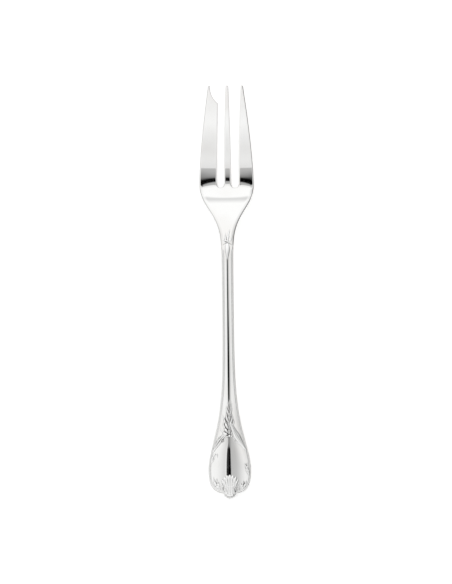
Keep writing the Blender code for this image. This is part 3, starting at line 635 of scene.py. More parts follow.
def chased_silver(finish, name):
    """Silver plate over chased relief: bright on the high places, and painted grey in the grooves and on
    some level parts, partly as tarnish and partly as painted shade.

    The punch and the chisel leave it a little less smooth than the buffed fields.
    """
    material, tree, shader = new_material(name)
    place = add_node(tree, "ShaderNodeTexCoord", {})["Object"]
    grain = add_node(
        tree, "ShaderNodeTexNoise", {"Vector": place, "Scale": 1.0 / finish.grain_size, "Detail": 3.0}
    )["Fac"]
    wear_and_shade = add_node(tree, "ShaderNodeAttribute", {}, attribute_name="wear_and_shade")["Fac"]
    rubbed_and_lit = add_node(
        tree, "ShaderNodeMath", {0: grain, 1: GRAIN_SHARE, 2: wear_and_shade}, operation="MULTIPLY_ADD"
    )["Value"]
    # The mix turns to the dark colour where this value is low: partly real tarnish, partly painted shade.
    bright = add_node(
        tree, "ShaderNodeMapRange", {"Value": rubbed_and_lit, **TARNISH_AND_SHADE_FADE}, interpolation_type="SMOOTHSTEP"
    )["Result"]
    dull, smooth = (finish.chased_roughness * share for share in WEAR_POLISH)
    roughness = add_node(
        tree, "ShaderNodeMapRange", {"Value": rubbed_and_lit, **SMOOTH_WEAR, "To Min": dull, "To Max": smooth}
    )["Result"]
    normal = add_node(
        tree, "ShaderNodeBump", {"Height": grain, "Strength": 0.12, "Distance": finish.grain_depth}
    )["Normal"]
    make_silver(tree, shader, bright, (finish.recess, finish.bright), roughness, normal)
    return material


def silver_plate(slot):
    """The silver plate for a slot, made the first time that it is asked for."""
    name = f"{slot}_plate"
    maker = {"polished_silver": polished_silver, "chased_silver": chased_silver}[slot]
    return bpy.data.materials.get(name) or maker(bpy.context.scene.fork_finish, name)


def edge_columns(form, left, right, inner_columns, edge_steps=7, edge_share=0.3):
    """Points from a left edge to a right edge, close together at the rounded edges."""
    width = right - left
    inset = np.minimum(form.section.edge_round, edge_share * width)
    turns = 1.0 - np.cos(np.linspace(0.0, math.pi / 2, edge_steps + 1)[:-1])
    shares = 0.5 - 0.5 * np.cos(np.linspace(0.0, math.pi, inner_columns))
    near = [left + inset * turn for turn in turns]
    inner = [left + inset + (width - 2 * inset) * share for share in shares]
    far = [right - inset * turn for turn in turns[::-1]]
    return np.stack(near + inner + far, axis=-1)


def cut_scarf(mesh, form, keep_head):
    """Cut a mesh along the slanted solder joint, half the gap back from it, and close the cut."""
    section = form.section
    rise = section.neck_edge + section.back_crown
    normal = Vector((0.0, -rise, form.plan.scarf)).normalized()
    centre = Vector((0.0, form.joint - form.tip / 2, float(form.middle_height(np.array(form.joint)))))
    side = -1.0 if keep_head else 1.0
    builder = bmesh.new()
    builder.from_mesh(mesh)
    made = bmesh.ops.bisect_plane(
        builder,
        geom=builder.verts[:] + builder.edges[:] + builder.faces[:],
        dist=SAME_POINT,
        plane_co=centre + normal * side * section.solder_gap / 2,
        plane_no=normal,
        clear_inner=not keep_head,
        clear_outer=keep_head,
    )
    rim = [item for item in made["geom_cut"] if isinstance(item, bmesh.types.BMEdge)]
    bmesh.ops.contextual_create(builder, geom=rim)
    bmesh.ops.triangulate(builder, faces=[face for face in builder.faces if len(face.verts) > 4])
    bmesh.ops.recalc_face_normals(builder, faces=builder.faces)
    builder.to_mesh(mesh)
    builder.free()


def head_grid(form):
    """Plan points of palm and tines, with gaps at the slots."""
    start = form.joint - form.plan.scarf
    palm_rows, edge_rows, tine_rows, notch_rows, slot_steps, cap_steps = 130, 8, 110, 50, 28, 8
    columns_of = (26, 16, 22)
    root_x, root_station = [], []
    for index, (left, right) in enumerate(form.tine_edges(np.array(form.spring))):
        columns = edge_columns(form, left, right, columns_of[index])
        root_x.append(columns)
        root_station.append(np.full_like(columns, form.spring))
        if index < len(form.slots()):
            arc_x, arc_station = form.slot_arc(*form.slots()[index], slot_steps)
            root_x.append(arc_x[1:-1])
            root_station.append(arc_station[1:-1])
    root_x, root_station = np.concatenate(root_x), np.concatenate(root_station)
    edge_share = form.section.edge_round / (form.spring - start)
    turns = 1.0 - np.cos(np.linspace(math.pi / 2, 0.0, edge_rows))
    rows = np.linspace(1.0, edge_share, palm_rows)
    reach = np.concatenate((rows[:-1], edge_share * turns))
    palm_station = root_station - reach[:, None] * (root_station - start)
    palm_x = root_x * form.half_width(palm_station) / form.half_width(np.array(form.spring))
    palm_x[-1] = root_x
    upper = np.linspace(form.spring, form.corner, tine_rows + 1)[1:]
    tine_x, tine_station = [], []
    for index, tip_width in enumerate(form.tip_widths()):
        radius = tip_width / 2
        middle = np.linspace(form.corner, form.tip - radius, notch_rows + 1)[1:]
        cap = form.tip - radius * (1.0 - np.sin(np.linspace(0.0, math.pi / 2, cap_steps + 1)[1:]))
        stations = np.concatenate((upper, middle, cap))
        left, right = form.tine_edges(stations)[index]
        columns = edge_columns(form, left, right, columns_of[index])
        tine_x.append(columns)
        tine_station.append(np.repeat(stations[:, None], columns.shape[1], axis=1))
        if index < len(form.slots()):
            gap = np.full((len(stations), slot_steps - 1), np.nan)
            tine_x.append(gap)
            tine_station.append(gap)
    return np.vstack((palm_x, np.hstack(tine_x))), np.vstack((palm_station, np.hstack(tine_station)))


class FORK_OT_head(bpy.types.Operator):
    """Build the mirror-polished palm and tines"""

    bl_idname = "fork.make_head"
    bl_label = "Head"

    def execute(self, context):
        form = ForkForm(context.scene)
        x, station = head_grid(form)
        solid = ~np.isnan(x)
        front, back = np.full_like(x, np.nan), np.full_like(x, np.nan)
        front[solid], back[solid] = form.faces(x[solid], station[solid])
        mesh = closed_mesh("polished_head", form, x, station, front, back, solid)
        cut_scarf(mesh, form, keep_head=True)
        add_piece(mesh, "polished_silver", "fork_head")
        return {"FINISHED"}


class FORK_OT_handle(bpy.types.Operator):
    """Build the mirror-polished stem and flat handle end"""

    bl_idname = "fork.make_handle"
    bl_label = "Handle"

    def execute(self, context):
        form = ForkForm(context.scene)
        rows, columns = 560, 56
        end = form.joint + form.plan.scarf
        station = end * np.linspace(0.0, 1.0, rows + 1) ** form.crowding
        half = form.half_width(station)
        x = edge_columns(form, -half, half, columns)
        station = np.repeat(station[:, None], x.shape[1], axis=1)
        front, back = form.faces(x, station)
        mesh = closed_mesh("polished_handle", form, x, station, front, back, np.ones(x.shape, dtype=bool))
        cut_scarf(mesh, form, keep_head=False)
        add_piece(mesh, "polished_silver", "handle")
        return {"FINISHED"}


class FORK_OT_threads(bpy.types.Operator):
    """Build the double thread along each edge of the handle"""

    bl_idname = "fork.make_threads"
    bl_label = "Threads"

    def execute(self, context):
        form = ForkForm(context.scene)
        ornament = context.scene.fork_ornament
        edge_steps, rows, columns = 1200, 640, 25
        end_width, bead_power, groove_bright_share = 0.05, 0.75, 0.4
        station = ornament.thread_end * np.linspace(0.0, 1.0, edge_steps) ** form.crowding
        half = form.half_width(station)
        edge = np.column_stack((half, station))[np.argmax(half > ornament.thread_start) :]
        along = np.concatenate(([0.0], np.cumsum(np.linalg.norm(np.diff(edge, axis=0), axis=1))))
        reach = np.linspace(0.0, along[-1], rows)
        path = np.column_stack([np.interp(reach, along, edge[:, axis]) for axis in (0, 1)])
        run = np.gradient(path, reach, axis=0)
        run /= np.linalg.norm(run, axis=1)[:, None]
        spread = np.linspace(-1.0, 1.0, columns)
        taper = quarter_round(np.minimum(reach, reach[-1] - reach), ornament.thread_width)[:, None]
        across = spread * np.maximum(taper, end_width)
        inset = ornament.thread_inset + ornament.thread_width / 2 * (1.0 + across)
        beads = np.abs(np.sin(math.pi * (spread + 1.0))) ** bead_power
        relief = ornament.thread_height * beads * taper - ornament.sink * (1.0 - taper)
        # The grooves between the beads are painted darker, partly as tarnish and partly as painted shade.
        wear_and_shade = np.repeat(groove_bright_share + (1.0 - groove_bright_share) * beads[None, :], rows, axis=0)
        solid = np.ones(relief.shape, dtype=bool)
        for side, node in ((-1, "left_thread"), (1, "right_thread")):
            order = slice(None, None, -side)
            x = side * (path[:, :1] - run[:, 1:] * inset)[:, order]
            station = (path[:, 1:] + run[:, :1] * inset)[:, order]
            front, _ = form.faces(x, station)
            top, under = front + relief[:, order], front - 2 * ornament.sink
            mesh = closed_mesh(f"chased_{node}", form, x, station, top, under, solid, wear_and_shade[:, order])
            add_piece(mesh, "chased_silver", node)
        return {"FINISHED"}


def nearest_on_line(x, station, line):
    """Share along a line, distance from it and side of it, for plan points."""
    points = np.column_stack((np.ravel(x), np.ravel(station)))
    start, run = line[:-1], np.diff(line, axis=0)
    offset = points[:, None, :] - start[None, :, :]
    along = np.clip(np.sum(offset * run, axis=2) / np.sum(run**2, axis=1), 0.0, 1.0)
    gap = offset - along[..., None] * run
    distance = np.linalg.norm(gap, axis=2)
    index = distance.argmin(axis=1)
    rows = np.arange(len(points))
    share = (index + along[rows, index]) / len(run)
    chosen = gap[rows, index]
    side = np.sign(run[index, 0] * chosen[:, 1] - run[index, 1] * chosen[:, 0])
    shape = np.shape(x)
    return share.reshape(shape), distance[rows, index].reshape(shape), side.reshape(shape)


def spine_line(points, steps=40):
    """A smooth line from the first point to the last, drawn toward the one between them."""
    root, bend, tip = (np.array(point) for point in points)
    share = np.linspace(0.0, 1.0, steps + 1)[:, None]
    return (1.0 - share) ** 2 * root + 2.0 * share * (1.0 - share) * bend + share**2 * tip


EDGE_SLOPE = 0.8  # rise over run at the edge of a chiselled relief
LEAF_FORM = (0.72, 0.8)  # how near a leaf's widest place is to its root, and how full the leaf is
LEAF_POINT = 1e-4  # millimetres of half width that are left at a leaf's points
LEAF_RAKE = 0.8  # how far a leaf's notches sweep towards its tip, as a share of its half width
NOTCH_WIDTH, NOTCH_CUT, NOTCH_SINK = 0.4, 0.4, 0.5  # a notch's width, and the width and height it takes off
VEIN_WIDTH, VEIN_DEPTH = 0.22, 0.35  # a leaf's vein, as shares of its half width and its height
LEAF_HOLLOW = 0.2  # how much lower a leaf is along its spine than at its edge, as a share of its height
CURL_WIND, CURL_TAPER = 0.82, 0.5  # how far a curl winds in and thins out, as shares of radius and width
FLUTE_HOLLOW = 0.45  # depth of a band's flutes, as a share of its height
BOX_MARGIN = 1.6  # millimetres round the points of an ornament's forms
HOLLOW_REACHES = (2, 7)  # grid points each way over which the depth of a hollow is judged
TARNISH_AND_SHADE_DEPTH = 0.16  # millimetres of depth between full tarnish with painted shade and bright silver


def raised(distance, half, height):
    """A chiselled relief: it rises from its edge and levels out at its height."""
    rise = EDGE_SLOPE * (half - distance)
    return np.where(rise > 0.0, height * (1.0 - np.exp(-np.maximum(rise, 0.0) / height)), rise)


def leaf_half(share, width):
    """Half the width of a leaf along its spine: pointed at both ends and widest nearer to its root."""
    place, fullness = LEAF_FORM
    return np.maximum(width / 2 * np.sin(math.pi * share**place) ** fullness, LEAF_POINT)


def leaf(x, station, points, width, height, lobes=0):
    """A hollowed leaf along a spine, with a sunk vein and, where it has lobes, notches between them."""
    line = spine_line(points)
    share, distance, _ = nearest_on_line(x, station, line)
    half = leaf_half(share, width)
    notch = 0.0
    if lobes:
        reach = np.linalg.norm(np.diff(line, axis=0), axis=1).sum()
        row = np.clip(share - LEAF_RAKE * distance**2 / (half * reach), 0.0, 1.0)
        notch = bell(np.abs(np.sin(math.pi * lobes * row)), NOTCH_WIDTH, 2)
    ratio = np.clip(distance / half, 0.0, 1.0)
    hollow = (1.0 - LEAF_HOLLOW + LEAF_HOLLOW * ratio) * (1.0 - VEIN_DEPTH * bell(ratio, VEIN_WIDTH, 2))
    half = half * (1.0 - NOTCH_CUT * notch)
    return raised(distance, half, height * hollow * (1.0 - NOTCH_SINK * notch * ratio))


def tongue(x, station, points, width, heights):
    """A smooth tongue along a spine, with its heights at root and tip."""
    share, distance, _ = nearest_on_line(x, station, spine_line(points))
    return raised(distance, leaf_half(share, width), np.interp(share, (0.0, 1.0), heights))


def curl(x, station, points, turns, width, height):
    """A scroll that winds in from its second point to a bead at its first."""
    centre, edge = (np.array(point) for point in points)
    radius = np.linalg.norm(edge - centre)
    start = math.atan2(edge[1] - centre[1], edge[0] - centre[0])
    steps, bead_radius, bead_height = 64, width * 0.55, height * 1.15
    share = np.linspace(0.0, 1.0, steps)
    turn = start + 2.0 * math.pi * turns * share
    reach = radius * (1.0 - CURL_WIND * share)
    line = centre + np.column_stack((np.cos(turn), np.sin(turn))) * reach[:, None]
    share, distance, _ = nearest_on_line(x, station, line)
    cord = raised(distance, width / 2 * (1.0 - CURL_TAPER * share), height)
    return np.maximum(cord, bead(x, station, (centre,), bead_radius, bead_height))


def bead(x, station, points, radius, height):
    """A round bead."""
    distance = np.hypot(x - points[0][0], station - points[0][1])
    dome = np.sqrt(np.clip(1.0 - (distance / radius) ** 2, 0.0, 1.0))
    return np.where(distance < radius, height * dome, (radius - distance) * EDGE_SLOPE)


def band(x, station, points, widths, height, flutes):
    """A hollow-fluted ribbon along a spine, with its widths at root, middle and tip."""
    share, distance, side = nearest_on_line(x, station, spine_line(points))
    half = np.interp(share, (0.0, 0.5, 1.0), widths) / 2
    across = side * np.minimum(distance / half, 0.999)  # just inside the edges, so within a flute
    place = flutes * (1.0 + across) / 2
    hollow = 1.0 - (2.0 * (place % 1.0) - 1.0) ** 2
    return raised(distance, half, height * (1.0 - FLUTE_HOLLOW * hollow))


# The ornaments, in millimetres across and along: the kind of form, its points, then its sizes
NECK_LEAF = (
    (leaf, ((-2.8, 152.2), (-0.6, 152.4), (1.8, 151.2)), 2.4, 0.07),
    (tongue, ((0.0, 151.0), (0.1, 147.0), (0.0, 140.8)), 2.9, (0.12, 0.5)),
    (leaf, ((0.3, 151.6), (0.2, 155.6), (1.7, 159.4)), 1.6, 0.35, 2),
    (leaf, ((-0.6, 152.0), (-1.6, 154.4), (-0.8, 157.6)), 1.0, 0.3),
    (leaf, ((1.6, 151.6), (3.0, 153.6), (3.2, 157.0)), 1.0, 0.3),
    (band, ((-2.8, 152.6), (-0.8, 152.9), (1.4, 150.8)), (0.5, 0.9, 0.5), 0.4, 1),
    (curl, ((-0.6, 151.5), (0.4, 152.1)), 1.1, 0.6, 0.45),
)
STEM_SPRAY = (
    (leaf, ((-0.6, 36.4), (-1.0, 42.0), (0.4, 58.6)), 5.2, 0.08),
    (leaf, ((-0.1, 52.2), (-1.0, 54.0), (-0.9, 57.6)), 1.0, 0.3),
    (leaf, ((0.5, 52.2), (1.5, 54.0), (1.5, 57.4)), 1.0, 0.3),
    (leaf, ((0.1, 36.6), (-0.4, 46.0), (0.5, 56.8)), 1.9, 0.16, 5),
    (leaf, ((-0.1, 49.4), (-1.5, 51.4), (-1.7, 55.0)), 1.3, 0.45),
    (leaf, ((0.3, 49.4), (1.5, 51.4), (1.5, 55.0)), 1.3, 0.45),
    (leaf, ((-0.3, 45.0), (-2.0, 46.8), (-1.8, 51.4)), 1.4, 0.5),
    (leaf, ((0.4, 44.4), (2.3, 46.0), (1.8, 50.2)), 1.5, 0.5),
    (leaf, ((-0.5, 41.0), (-2.4, 43.0), (-3.8, 49.8)), 1.7, 0.5, 2),
    (leaf, ((0.6, 40.4), (2.6, 42.2), (2.8, 47.4)), 1.6, 0.5, 2),
    (leaf, ((-0.7, 38.8), (-2.8, 40.2), (-4.0, 45.6)), 1.7, 0.5, 2),
    (leaf, ((-0.9, 37.4), (-4.0, 38.0), (-5.6, 42.4)), 1.7, 0.5, 2),
    (leaf, ((0.8, 38.0), (2.2, 38.8), (2.6, 42.0)), 1.3, 0.45),
    (bead, ((0.1, 36.8),), 0.9, 0.6),
    (bead, ((-1.3, 36.3),), 0.65, 0.5),
    (bead, ((1.4, 36.5),), 0.65, 0.5),
)
LEFT_SCROLL = (
    (band, ((-2.2, 38.0), (-6.2, 34.4), (-9.9, 27.6)), (1.8, 3.4, 1.3), 0.5, 3),
    (curl, ((-4.0, 34.2), (-2.7, 35.2)), 1.3, 0.75, 0.55),
    (leaf, ((-4.6, 35.8), (-6.2, 35.8), (-6.8, 37.4)), 1.1, 0.4),
)
RIGHT_SCROLL = (
    (band, ((0.9, 44.4), (4.2, 36.6), (9.9, 28.6)), (1.6, 4.0, 1.2), 0.55, 4),
    (curl, ((3.4, 33.9), (2.3, 35.3)), -1.3, 0.75, 0.55),
    (leaf, ((4.2, 33.0), (6.6, 33.0), (9.2, 28.0)), 1.3, 0.45),
)
LEFT_SIDE_LEAF = (
    (leaf, ((-11.1, 20.2), (-10.0, 25.0), (-8.0, 26.4)), 2.4, 0.08),
    (leaf, ((-11.2, 20.4), (-10.4, 25.6), (-7.8, 26.7)), 1.5, 0.45, 2),
    (leaf, ((-8.8, 26.4), (-7.1, 27.2), (-7.2, 23.8)), 1.1, 0.45),
    (leaf, ((-11.0, 20.6), (-9.8, 22.6), (-9.4, 25.0)), 1.0, 0.4),
)
RIGHT_SIDE_LEAF = (
    (leaf, ((11.2, 13.4), (10.6, 18.0), (9.0, 21.4)), 2.8, 0.08),
    (leaf, ((11.3, 13.4), (11.2, 18.4), (8.0, 20.6)), 2.0, 0.5, 3),
    (leaf, ((11.2, 13.8), (10.4, 17.0), (8.7, 17.6)), 1.2, 0.4),
    (leaf, ((11.0, 15.0), (10.9, 19.0), (10.3, 22.0)), 1.1, 0.4),
)
LEFT_BASE_LEAF = (
    (leaf, ((-5.6, 5.6), (-8.8, 6.8), (-8.4, 11.8)), 3.4, 0.08),
    (leaf, ((-5.8, 5.8), (-9.6, 7.0), (-9.6, 13.4)), 2.0, 0.5, 3),
    (leaf, ((-5.8, 6.2), (-8.0, 7.8), (-7.6, 12.8)), 1.6, 0.5, 2),
    (leaf, ((-5.8, 6.4), (-6.9, 7.8), (-6.3, 10.4)), 1.3, 0.45),
)
RIGHT_BASE_LEAF = (
    (leaf, ((5.6, 5.6), (9.0, 6.2), (8.6, 10.6)), 3.6, 0.08),
    (leaf, ((5.8, 5.8), (9.8, 6.2), (9.9, 11.2)), 2.0, 0.5, 3),
    (leaf, ((5.8, 6.2), (8.2, 7.2), (7.9, 11.2)), 1.7, 0.5, 2),
    (leaf, ((5.8, 6.4), (6.9, 7.4), (6.4, 9.6)), 1.3, 0.45),
)
# Each carved node's forms, and the share of tarnish and painted shade on its level parts
CARVED = {
    "neck_leaf": (NECK_LEAF, 0.6),
    "stem_spray": (STEM_SPRAY, 0.69),
    "left_scroll": (LEFT_SCROLL, 0.73),
    "right_scroll": (RIGHT_SCROLL, 0.45),
    "left_side_leaf": (LEFT_SIDE_LEAF, 0.6),
    "right_side_leaf": (RIGHT_SIDE_LEAF, 0.6),
    "left_base_leaf": (LEFT_BASE_LEAF, 0.5),
    "right_base_leaf": (RIGHT_BASE_LEAF, 0.58),
}
# Share of tarnish and painted shade on the shell's level parts.
SHELL_TARNISH_AND_SHADE = 0.32
SHELL_CURLS = (
    (curl, ((-4.5, 5.7), (-3.3, 6.7)), 1.25, 0.75, 0.8),
    (curl, ((4.5, 5.7), (3.3, 6.7)), -1.25, 0.75, 0.8),
)


def carve(forms):
    """A relief, in millimetres, of several forms that grow out of each other."""

    def relief(x, station):
        return np.maximum.reduce([form[0](x, station, *form[1:]) for form in forms])

    return relief


def shell_relief(ornament):
    """A fluted shell: a fan and a smaller foot that grow together at a waist, with a curl on each side."""
    curls = carve(SHELL_CURLS)
    fan_centre, fan_radius = ornament.fan_centre / MM, ornament.fan_radius / MM
    foot_centre, foot_radius = ornament.foot_centre / MM, ornament.foot_radius / MM
    join = 0.5  # millimetres over which fan and foot run together
    flute_power = 1.6  # how broad the flutes' backs are
    dish, dish_start, dish_end = 0.35, 0.5, 3.0  # share sunk in the middle, and its run in from the rim
    foot_notch = 0.3  # share of the notches' depth that is left at the foot

    def relief(x, station):
        fan = fan_radius - np.hypot(x, (station - fan_centre) / ornament.fan_squash)
        foot = foot_radius - np.hypot(x, station - foot_centre)
        inside = join * np.logaddexp(fan / join, foot / join)
        turn = math.tan(ornament.flute_angle) * np.abs(station - ornament.waist / MM)
        phase = x / (ornament.flute_width / MM + turn)
        groove = np.abs(2.0 * (phase - np.round(phase))) ** flute_power
        swell = 1.0 - dish * ease(dish_start, dish_end, inside)
        height = ornament.shell_height / MM * swell * (1.0 - ornament.flute_depth * groove)
        notch_share = foot_notch + (1.0 - foot_notch) * ease(foot_centre, fan_centre, station)
        notch = ornament.scallop / MM * groove * notch_share
        return np.maximum(curls(x, station), raised(notch, inside, height))

    return relief


def blur(values, reach):
    """Soften a grid of values over some points each way."""
    for axis in (0, 1):
        size = values.shape[axis]
        padded = np.pad(values, [(reach, reach) if axis == side else (0, 0) for side in (0, 1)], mode="edge")
        shifted = [padded.take(range(start, start + size), axis) for start in range(2 * reach + 1)]
        values = np.stack(shifted).mean(axis=0)
    return values


def make_ornament(scene, node, relief, box, tarnish_and_shade):
    """Carve a relief on a fine grid over a box in millimetres and let its edge into the handle; its hollows
    and level parts are painted darker, partly as tarnish and partly as painted shade.
    """
    form, ornament = ForkForm(scene), scene.fork_ornament
    (left, low), (right, high) = box
    step = ornament.fineness / MM
    x, station = np.meshgrid(np.arange(left, right + step, step), np.arange(low, high + step, step))
    height = relief(x, station)
    ground = np.maximum(height, 0.0)
    # Hollows below their surroundings are painted darker, and level parts are darkened by the node's share:
    # partly tarnish, partly painted shade.
    hollow = height - sum(blur(ground, reach) for reach in HOLLOW_REACHES) / len(HOLLOW_REACHES)
    wear_and_shade = np.clip(1.0 - tarnish_and_shade + hollow / TARNISH_AND_SHADE_DEPTH, 0.0, 1.0)
    x, station, height = x * MM, station * MM, height * MM
    solid = height > -ornament.sink
    front = np.zeros_like(x)
    front[solid], _ = form.faces(x[solid], station[solid])
    top = front + np.maximum(height, -ornament.sink)
    mesh = closed_mesh(f"chased_{node}", form, x, station, top, front - 2 * ornament.sink, solid, wear_and_shade)
    add_piece(mesh, "chased_silver", node)


def make_carved(scene, *nodes):
    """Make the ornaments of some nodes from their forms, in boxes round the forms' points."""
    for node in nodes:
        forms, tarnish_and_shade = CARVED[node]
        points = np.array([point for form in forms for point in form[1]])
        box = (points.min(axis=0) - BOX_MARGIN, points.max(axis=0) + BOX_MARGIN)
        make_ornament(scene, node, carve(forms), box, tarnish_and_shade)
    return {"FINISHED"}


class FORK_OT_neck_leaf(bpy.types.Operator):
    """Carve the leaf over the seam at the neck"""

    bl_idname = "fork.make_neck_leaf"
    bl_label = "Neck leaf"

    def execute(self, context):
        return make_carved(context.scene, "neck_leaf")


class FORK_OT_spray(bpy.types.Operator):
    """Carve the spray of leaves where the stem widens"""

    bl_idname = "fork.make_spray"
    bl_label = "Stem spray"

    def execute(self, context):
        return make_carved(context.scene, "stem_spray")


class FORK_OT_scrolls(bpy.types.Operator):
    """Carve the two fluted scrolls below the spray"""

    bl_idname = "fork.make_scrolls"
    bl_label = "Scrolls"

    def execute(self, context):
        return make_carved(context.scene, "left_scroll", "right_scroll")


class FORK_OT_side_leaves(bpy.types.Operator):
    """Carve the small leaves that spring from the threads"""

    bl_idname = "fork.make_side_leaves"
    bl_label = "Side leaves"

    def execute(self, context):
        return make_carved(context.scene, "left_side_leaf", "right_side_leaf")


class FORK_OT_base_leaves(bpy.types.Operator):
    """Carve the leaves on each side of the shell"""

    bl_idname = "fork.make_base_leaves"
    bl_label = "Base leaves"

    def execute(self, context):
        return make_carved(context.scene, "left_base_leaf", "right_base_leaf")


class FORK_OT_shell(bpy.types.Operator):
    """Carve the fluted shell at the handle's end"""

    bl_idname = "fork.make_shell"
    bl_label = "Shell"

    def execute(self, context):
        ornament = context.scene.fork_ornament
        side, low, margin = 7.0, 0.1, 0.6  # millimetres to each side, from the end and above the fan
        top = (ornament.fan_centre + ornament.fan_radius) / MM
        box = ((-side, low), (side, top + margin))
        make_ornament(context.scene, "terminal_shell", shell_relief(ornament), box, SHELL_TARNISH_AND_SHADE)
        return {"FINISHED"}


# Brightness of the studio tent along four ways out from the camera, by the sine of the angle from it.
# The camera itself is black, its surround is grey, and the tent is white out to its darker walls.
TENT = {
    (1.0, 0.0): (
        (0.030, 0.0), (0.044, 0.64), (0.070, 0.54), (0.160, 0.57), (0.220, 0.66), (0.290, 0.81),
        (0.360, 0.92), (0.440, 0.86), (0.560, 0.60), (0.720, 0.52), (0.860, 0.22), (1.000, 0.02),
    ),
    (-1.0, 0.0): (
        (0.072, 0.0), (0.086, 0.98), (0.104, 0.78), (0.130, 0.77), (0.220, 0.87), (0.300, 0.95),
        (0.420, 0.98), (0.560, 0.90), (0.720, 0.84), (0.860, 0.80), (1.000, 0.45),
    ),
    (0.0, 1.0): (
        (0.013, 0.0), (0.021, 0.45), (0.050, 0.49), (0.070, 0.77), (0.100, 0.95), (0.190, 0.97),
        (0.280, 1.03), (0.370, 1.06), (0.962, 1.06), (0.975, 0.93), (0.988, 0.74), (1.000, 0.60),
    ),
    (0.0, -1.0): (
        (0.031, 0.0), (0.038, 0.12), (0.047, 0.24), (0.060, 0.31), (0.090, 0.41), (0.120, 0.47),
        (0.168, 0.51), (0.180, 0.80), (0.205, 0.87), (0.235, 0.84), (0.265, 0.87), (0.310, 0.99),
        (0.350, 0.94), (0.600, 0.98), (0.740, 0.84), (0.860, 0.42), (1.000, 0.15),
    ),
}
# Sines above the level, from the floor's white far end to the tent's walls
HORIZON = {"From Min": 0.03, "From Max": 0.06}


def tent_light(tree, tilt):
    """Brightness of a white studio tent by direction, with the dark opening for the camera."""
    way = add_node(tree, "ShaderNodeTexCoord", {})["Generated"]
    axes = ((1.0, 0.0, 0.0), (0.0, math.cos(tilt), math.sin(tilt)), (0.0, 0.0, 1.0))
    right, ahead, up = (
        add_node(tree, "ShaderNodeVectorMath", {0: way, 1: axis}, operation="DOT_PRODUCT")["Value"]
        for axis in axes
    )
    flat = add_node(tree, "ShaderNodeCombineXYZ", {"X": right, "Y": ahead})["Vector"]
    away = add_node(tree, "ShaderNodeVectorMath", {0: flat}, operation="LENGTH")["Value"]
    heading = add_node(tree, "ShaderNodeVectorMath", {0: flat}, operation="NORMALIZE")["Vector"]
    light = 0.0
    for (x, y), stops in TENT.items():
        cosine = add_node(
            tree, "ShaderNodeVectorMath", {0: heading, 1: (x, y, 0.0)}, operation="DOT_PRODUCT"
        )["Value"]
        toward = add_node(tree, "ShaderNodeMath", {0: cosine, 1: 0.0}, operation="MAXIMUM")["Value"]
        share = add_node(tree, "ShaderNodeMath", {0: toward, 1: toward}, operation="MULTIPLY")["Value"]
        ramp = add_node(tree, "ShaderNodeValToRGB", {"Fac": away})["Color"]
        elements = ramp.node.color_ramp.elements
        for index, (sine, level) in enumerate(stops):
            stop = elements[index] if index < 2 else elements.new(sine)
            stop.position = sine
            stop.color = (level, level, level, 1.0)
        light = add_node(
            tree, "ShaderNodeMath", {0: share, 1: ramp, 2: light}, operation="MULTIPLY_ADD"
        )["Value"]
    far_floor = add_node(
        tree, "ShaderNodeMapRange", {"Value": up, **HORIZON, "To Min": 1.0, "To Max": 0.0}
    )["Result"]
    return add_node(tree, "ShaderNodeMath", {0: light, 1: far_floor}, operation="MAXIMUM")["Value"]


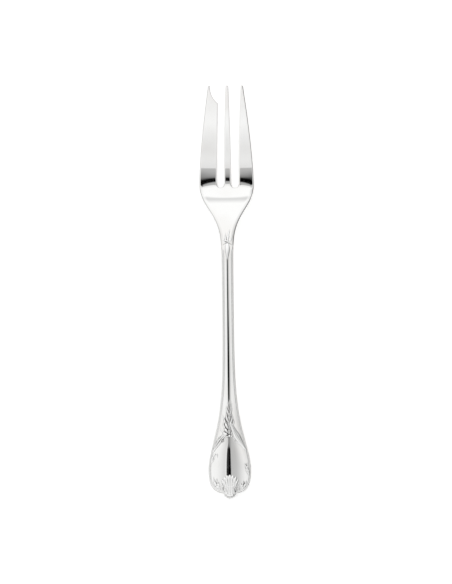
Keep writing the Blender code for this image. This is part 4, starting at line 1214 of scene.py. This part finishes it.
class FORK_OT_stage(bpy.types.Operator):
    """Set up the white floor, the studio tent and the camera"""

    bl_idname = "fork.make_stage"
    bl_label = "Stage"

    def execute(self, context):
        scene = context.scene
        stage = scene.fork_stage
        self.make_floor(scene, stage)
        self.make_world(scene, stage)
        self.make_camera(scene, stage)
        scene.view_settings.view_transform = "Standard"
        return {"FINISHED"}

    def make_floor(self, scene, stage):
        """A matt white paper floor, lifted to white where it is seen or mirrored; it keeps the shadow."""
        builder = bmesh.new()
        bmesh.ops.create_grid(builder, x_segments=1, y_segments=1, size=stage.floor_size / 2)
        mesh = bpy.data.meshes.new("floor")
        builder.to_mesh(mesh)
        builder.free()
        floor = bpy.data.objects.new("floor", mesh)
        scene.collection.objects.link(floor)
        material, tree, shader = new_material("white_paper")
        mesh.materials.append(material)
        place = add_node(tree, "ShaderNodeTexCoord", {})["Object"]
        fibre = add_node(
            tree, "ShaderNodeTexNoise", {"Vector": place, "Scale": 1.0 / stage.fibre_size, "Detail": 2.0}
        )["Fac"]
        normal = add_node(
            tree, "ShaderNodeBump", {"Height": fibre, "Strength": 0.1, "Distance": stage.fibre_depth}
        )["Normal"]
        ray = add_node(tree, "ShaderNodeLightPath", {})
        seen = ray["Is Camera Ray"]
        for kind in ("Is Glossy Ray", "Is Transmission Ray"):
            seen = add_node(tree, "ShaderNodeMath", {0: seen, 1: ray[kind]}, operation="MAXIMUM")["Value"]
        lift = add_node(
            tree, "ShaderNodeMath", {0: seen, 1: stage.floor_lift}, operation="MULTIPLY"
        )["Value"]
        shader.inputs["Base Color"].default_value = (*stage.floor_colour, 1.0)
        shader.inputs["Roughness"].default_value = 0.9
        shader.inputs["Specular IOR Level"].default_value = 0.0
        shader.inputs["Emission Color"].default_value = (1.0, 1.0, 1.0, 1.0)
        tree.links.new(normal, shader.inputs["Normal"])
        tree.links.new(lift, shader.inputs["Emission Strength"])

    def make_world(self, scene, stage):
        """A white tent that darkens toward its walls, most of all on the right."""
        world = bpy.data.worlds.new("studio_tent")
        world.use_nodes = True
        scene.world = world
        background = world.node_tree.nodes["Background"]
        world.node_tree.links.new(tent_light(world.node_tree, stage.tilt), background.inputs["Color"])

    def make_camera(self, scene, stage):
        """A long lens square to the stem, framed as 452 by 584."""
        data = bpy.data.cameras.new("camera")
        data.sensor_fit = "AUTO"
        data.sensor_width = 36.0
        data.lens = data.sensor_width * stage.distance / stage.frame_height
        data.clip_end = 100.0
        camera = bpy.data.objects.new("camera", data)
        scene.collection.objects.link(camera)
        aim = Vector((stage.aim_x, stage.aim_y, stage.aim_z))
        turn = Matrix.Rotation(stage.tilt, 4, "X") @ Matrix.Rotation(-stage.roll, 4, "Z")
        camera.matrix_world = Matrix.Translation(aim) @ turn @ Matrix.Translation((0.0, 0.0, stage.distance))
        scene.camera = camera


class FORK_PT_maker(bpy.types.Panel):
    """Panel with a button for each piece and the sizes behind them"""

    bl_idname = "FORK_PT_maker"
    bl_label = "Serving Fork"
    bl_space_type = "VIEW_3D"
    bl_region_type = "UI"
    bl_category = "Fork"

    def draw(self, context):
        layout = self.layout
        for operator in OPERATORS:
            layout.operator(operator.bl_idname)
        for name, group in GROUPS.items():
            box = layout.box()
            box.label(text=group.__doc__)
            for key in group.__annotations__:
                box.prop(getattr(context.scene, name), key)


OPERATORS = (
    FORK_OT_head,
    FORK_OT_handle,
    FORK_OT_threads,
    FORK_OT_neck_leaf,
    FORK_OT_spray,
    FORK_OT_scrolls,
    FORK_OT_side_leaves,
    FORK_OT_base_leaves,
    FORK_OT_shell,
    FORK_OT_stage,
)
GROUPS = {
    "fork_plan": ForkPlan,
    "fork_section": ForkSection,
    "fork_ornament": ForkOrnament,
    "fork_finish": ForkFinish,
    "fork_stage": ForkStage,
}
CLASSES = (*GROUPS.values(), *OPERATORS, FORK_PT_maker)


def register():
    """Register the classes and give the scene its groups of sizes."""
    for item in CLASSES:
        bpy.utils.register_class(item)
    for name, group in GROUPS.items():
        setattr(bpy.types.Scene, name, PointerProperty(type=group))


def unregister():
    """Take the groups and classes away again."""
    for name in GROUPS:
        delattr(bpy.types.Scene, name)
    for item in reversed(CLASSES):
        bpy.utils.unregister_class(item)


def main():
    register()
    for operator in OPERATORS:
        getattr(bpy.ops.fork, operator.bl_idname.split(".")[1])()


if __name__ == "__main__":
    main()
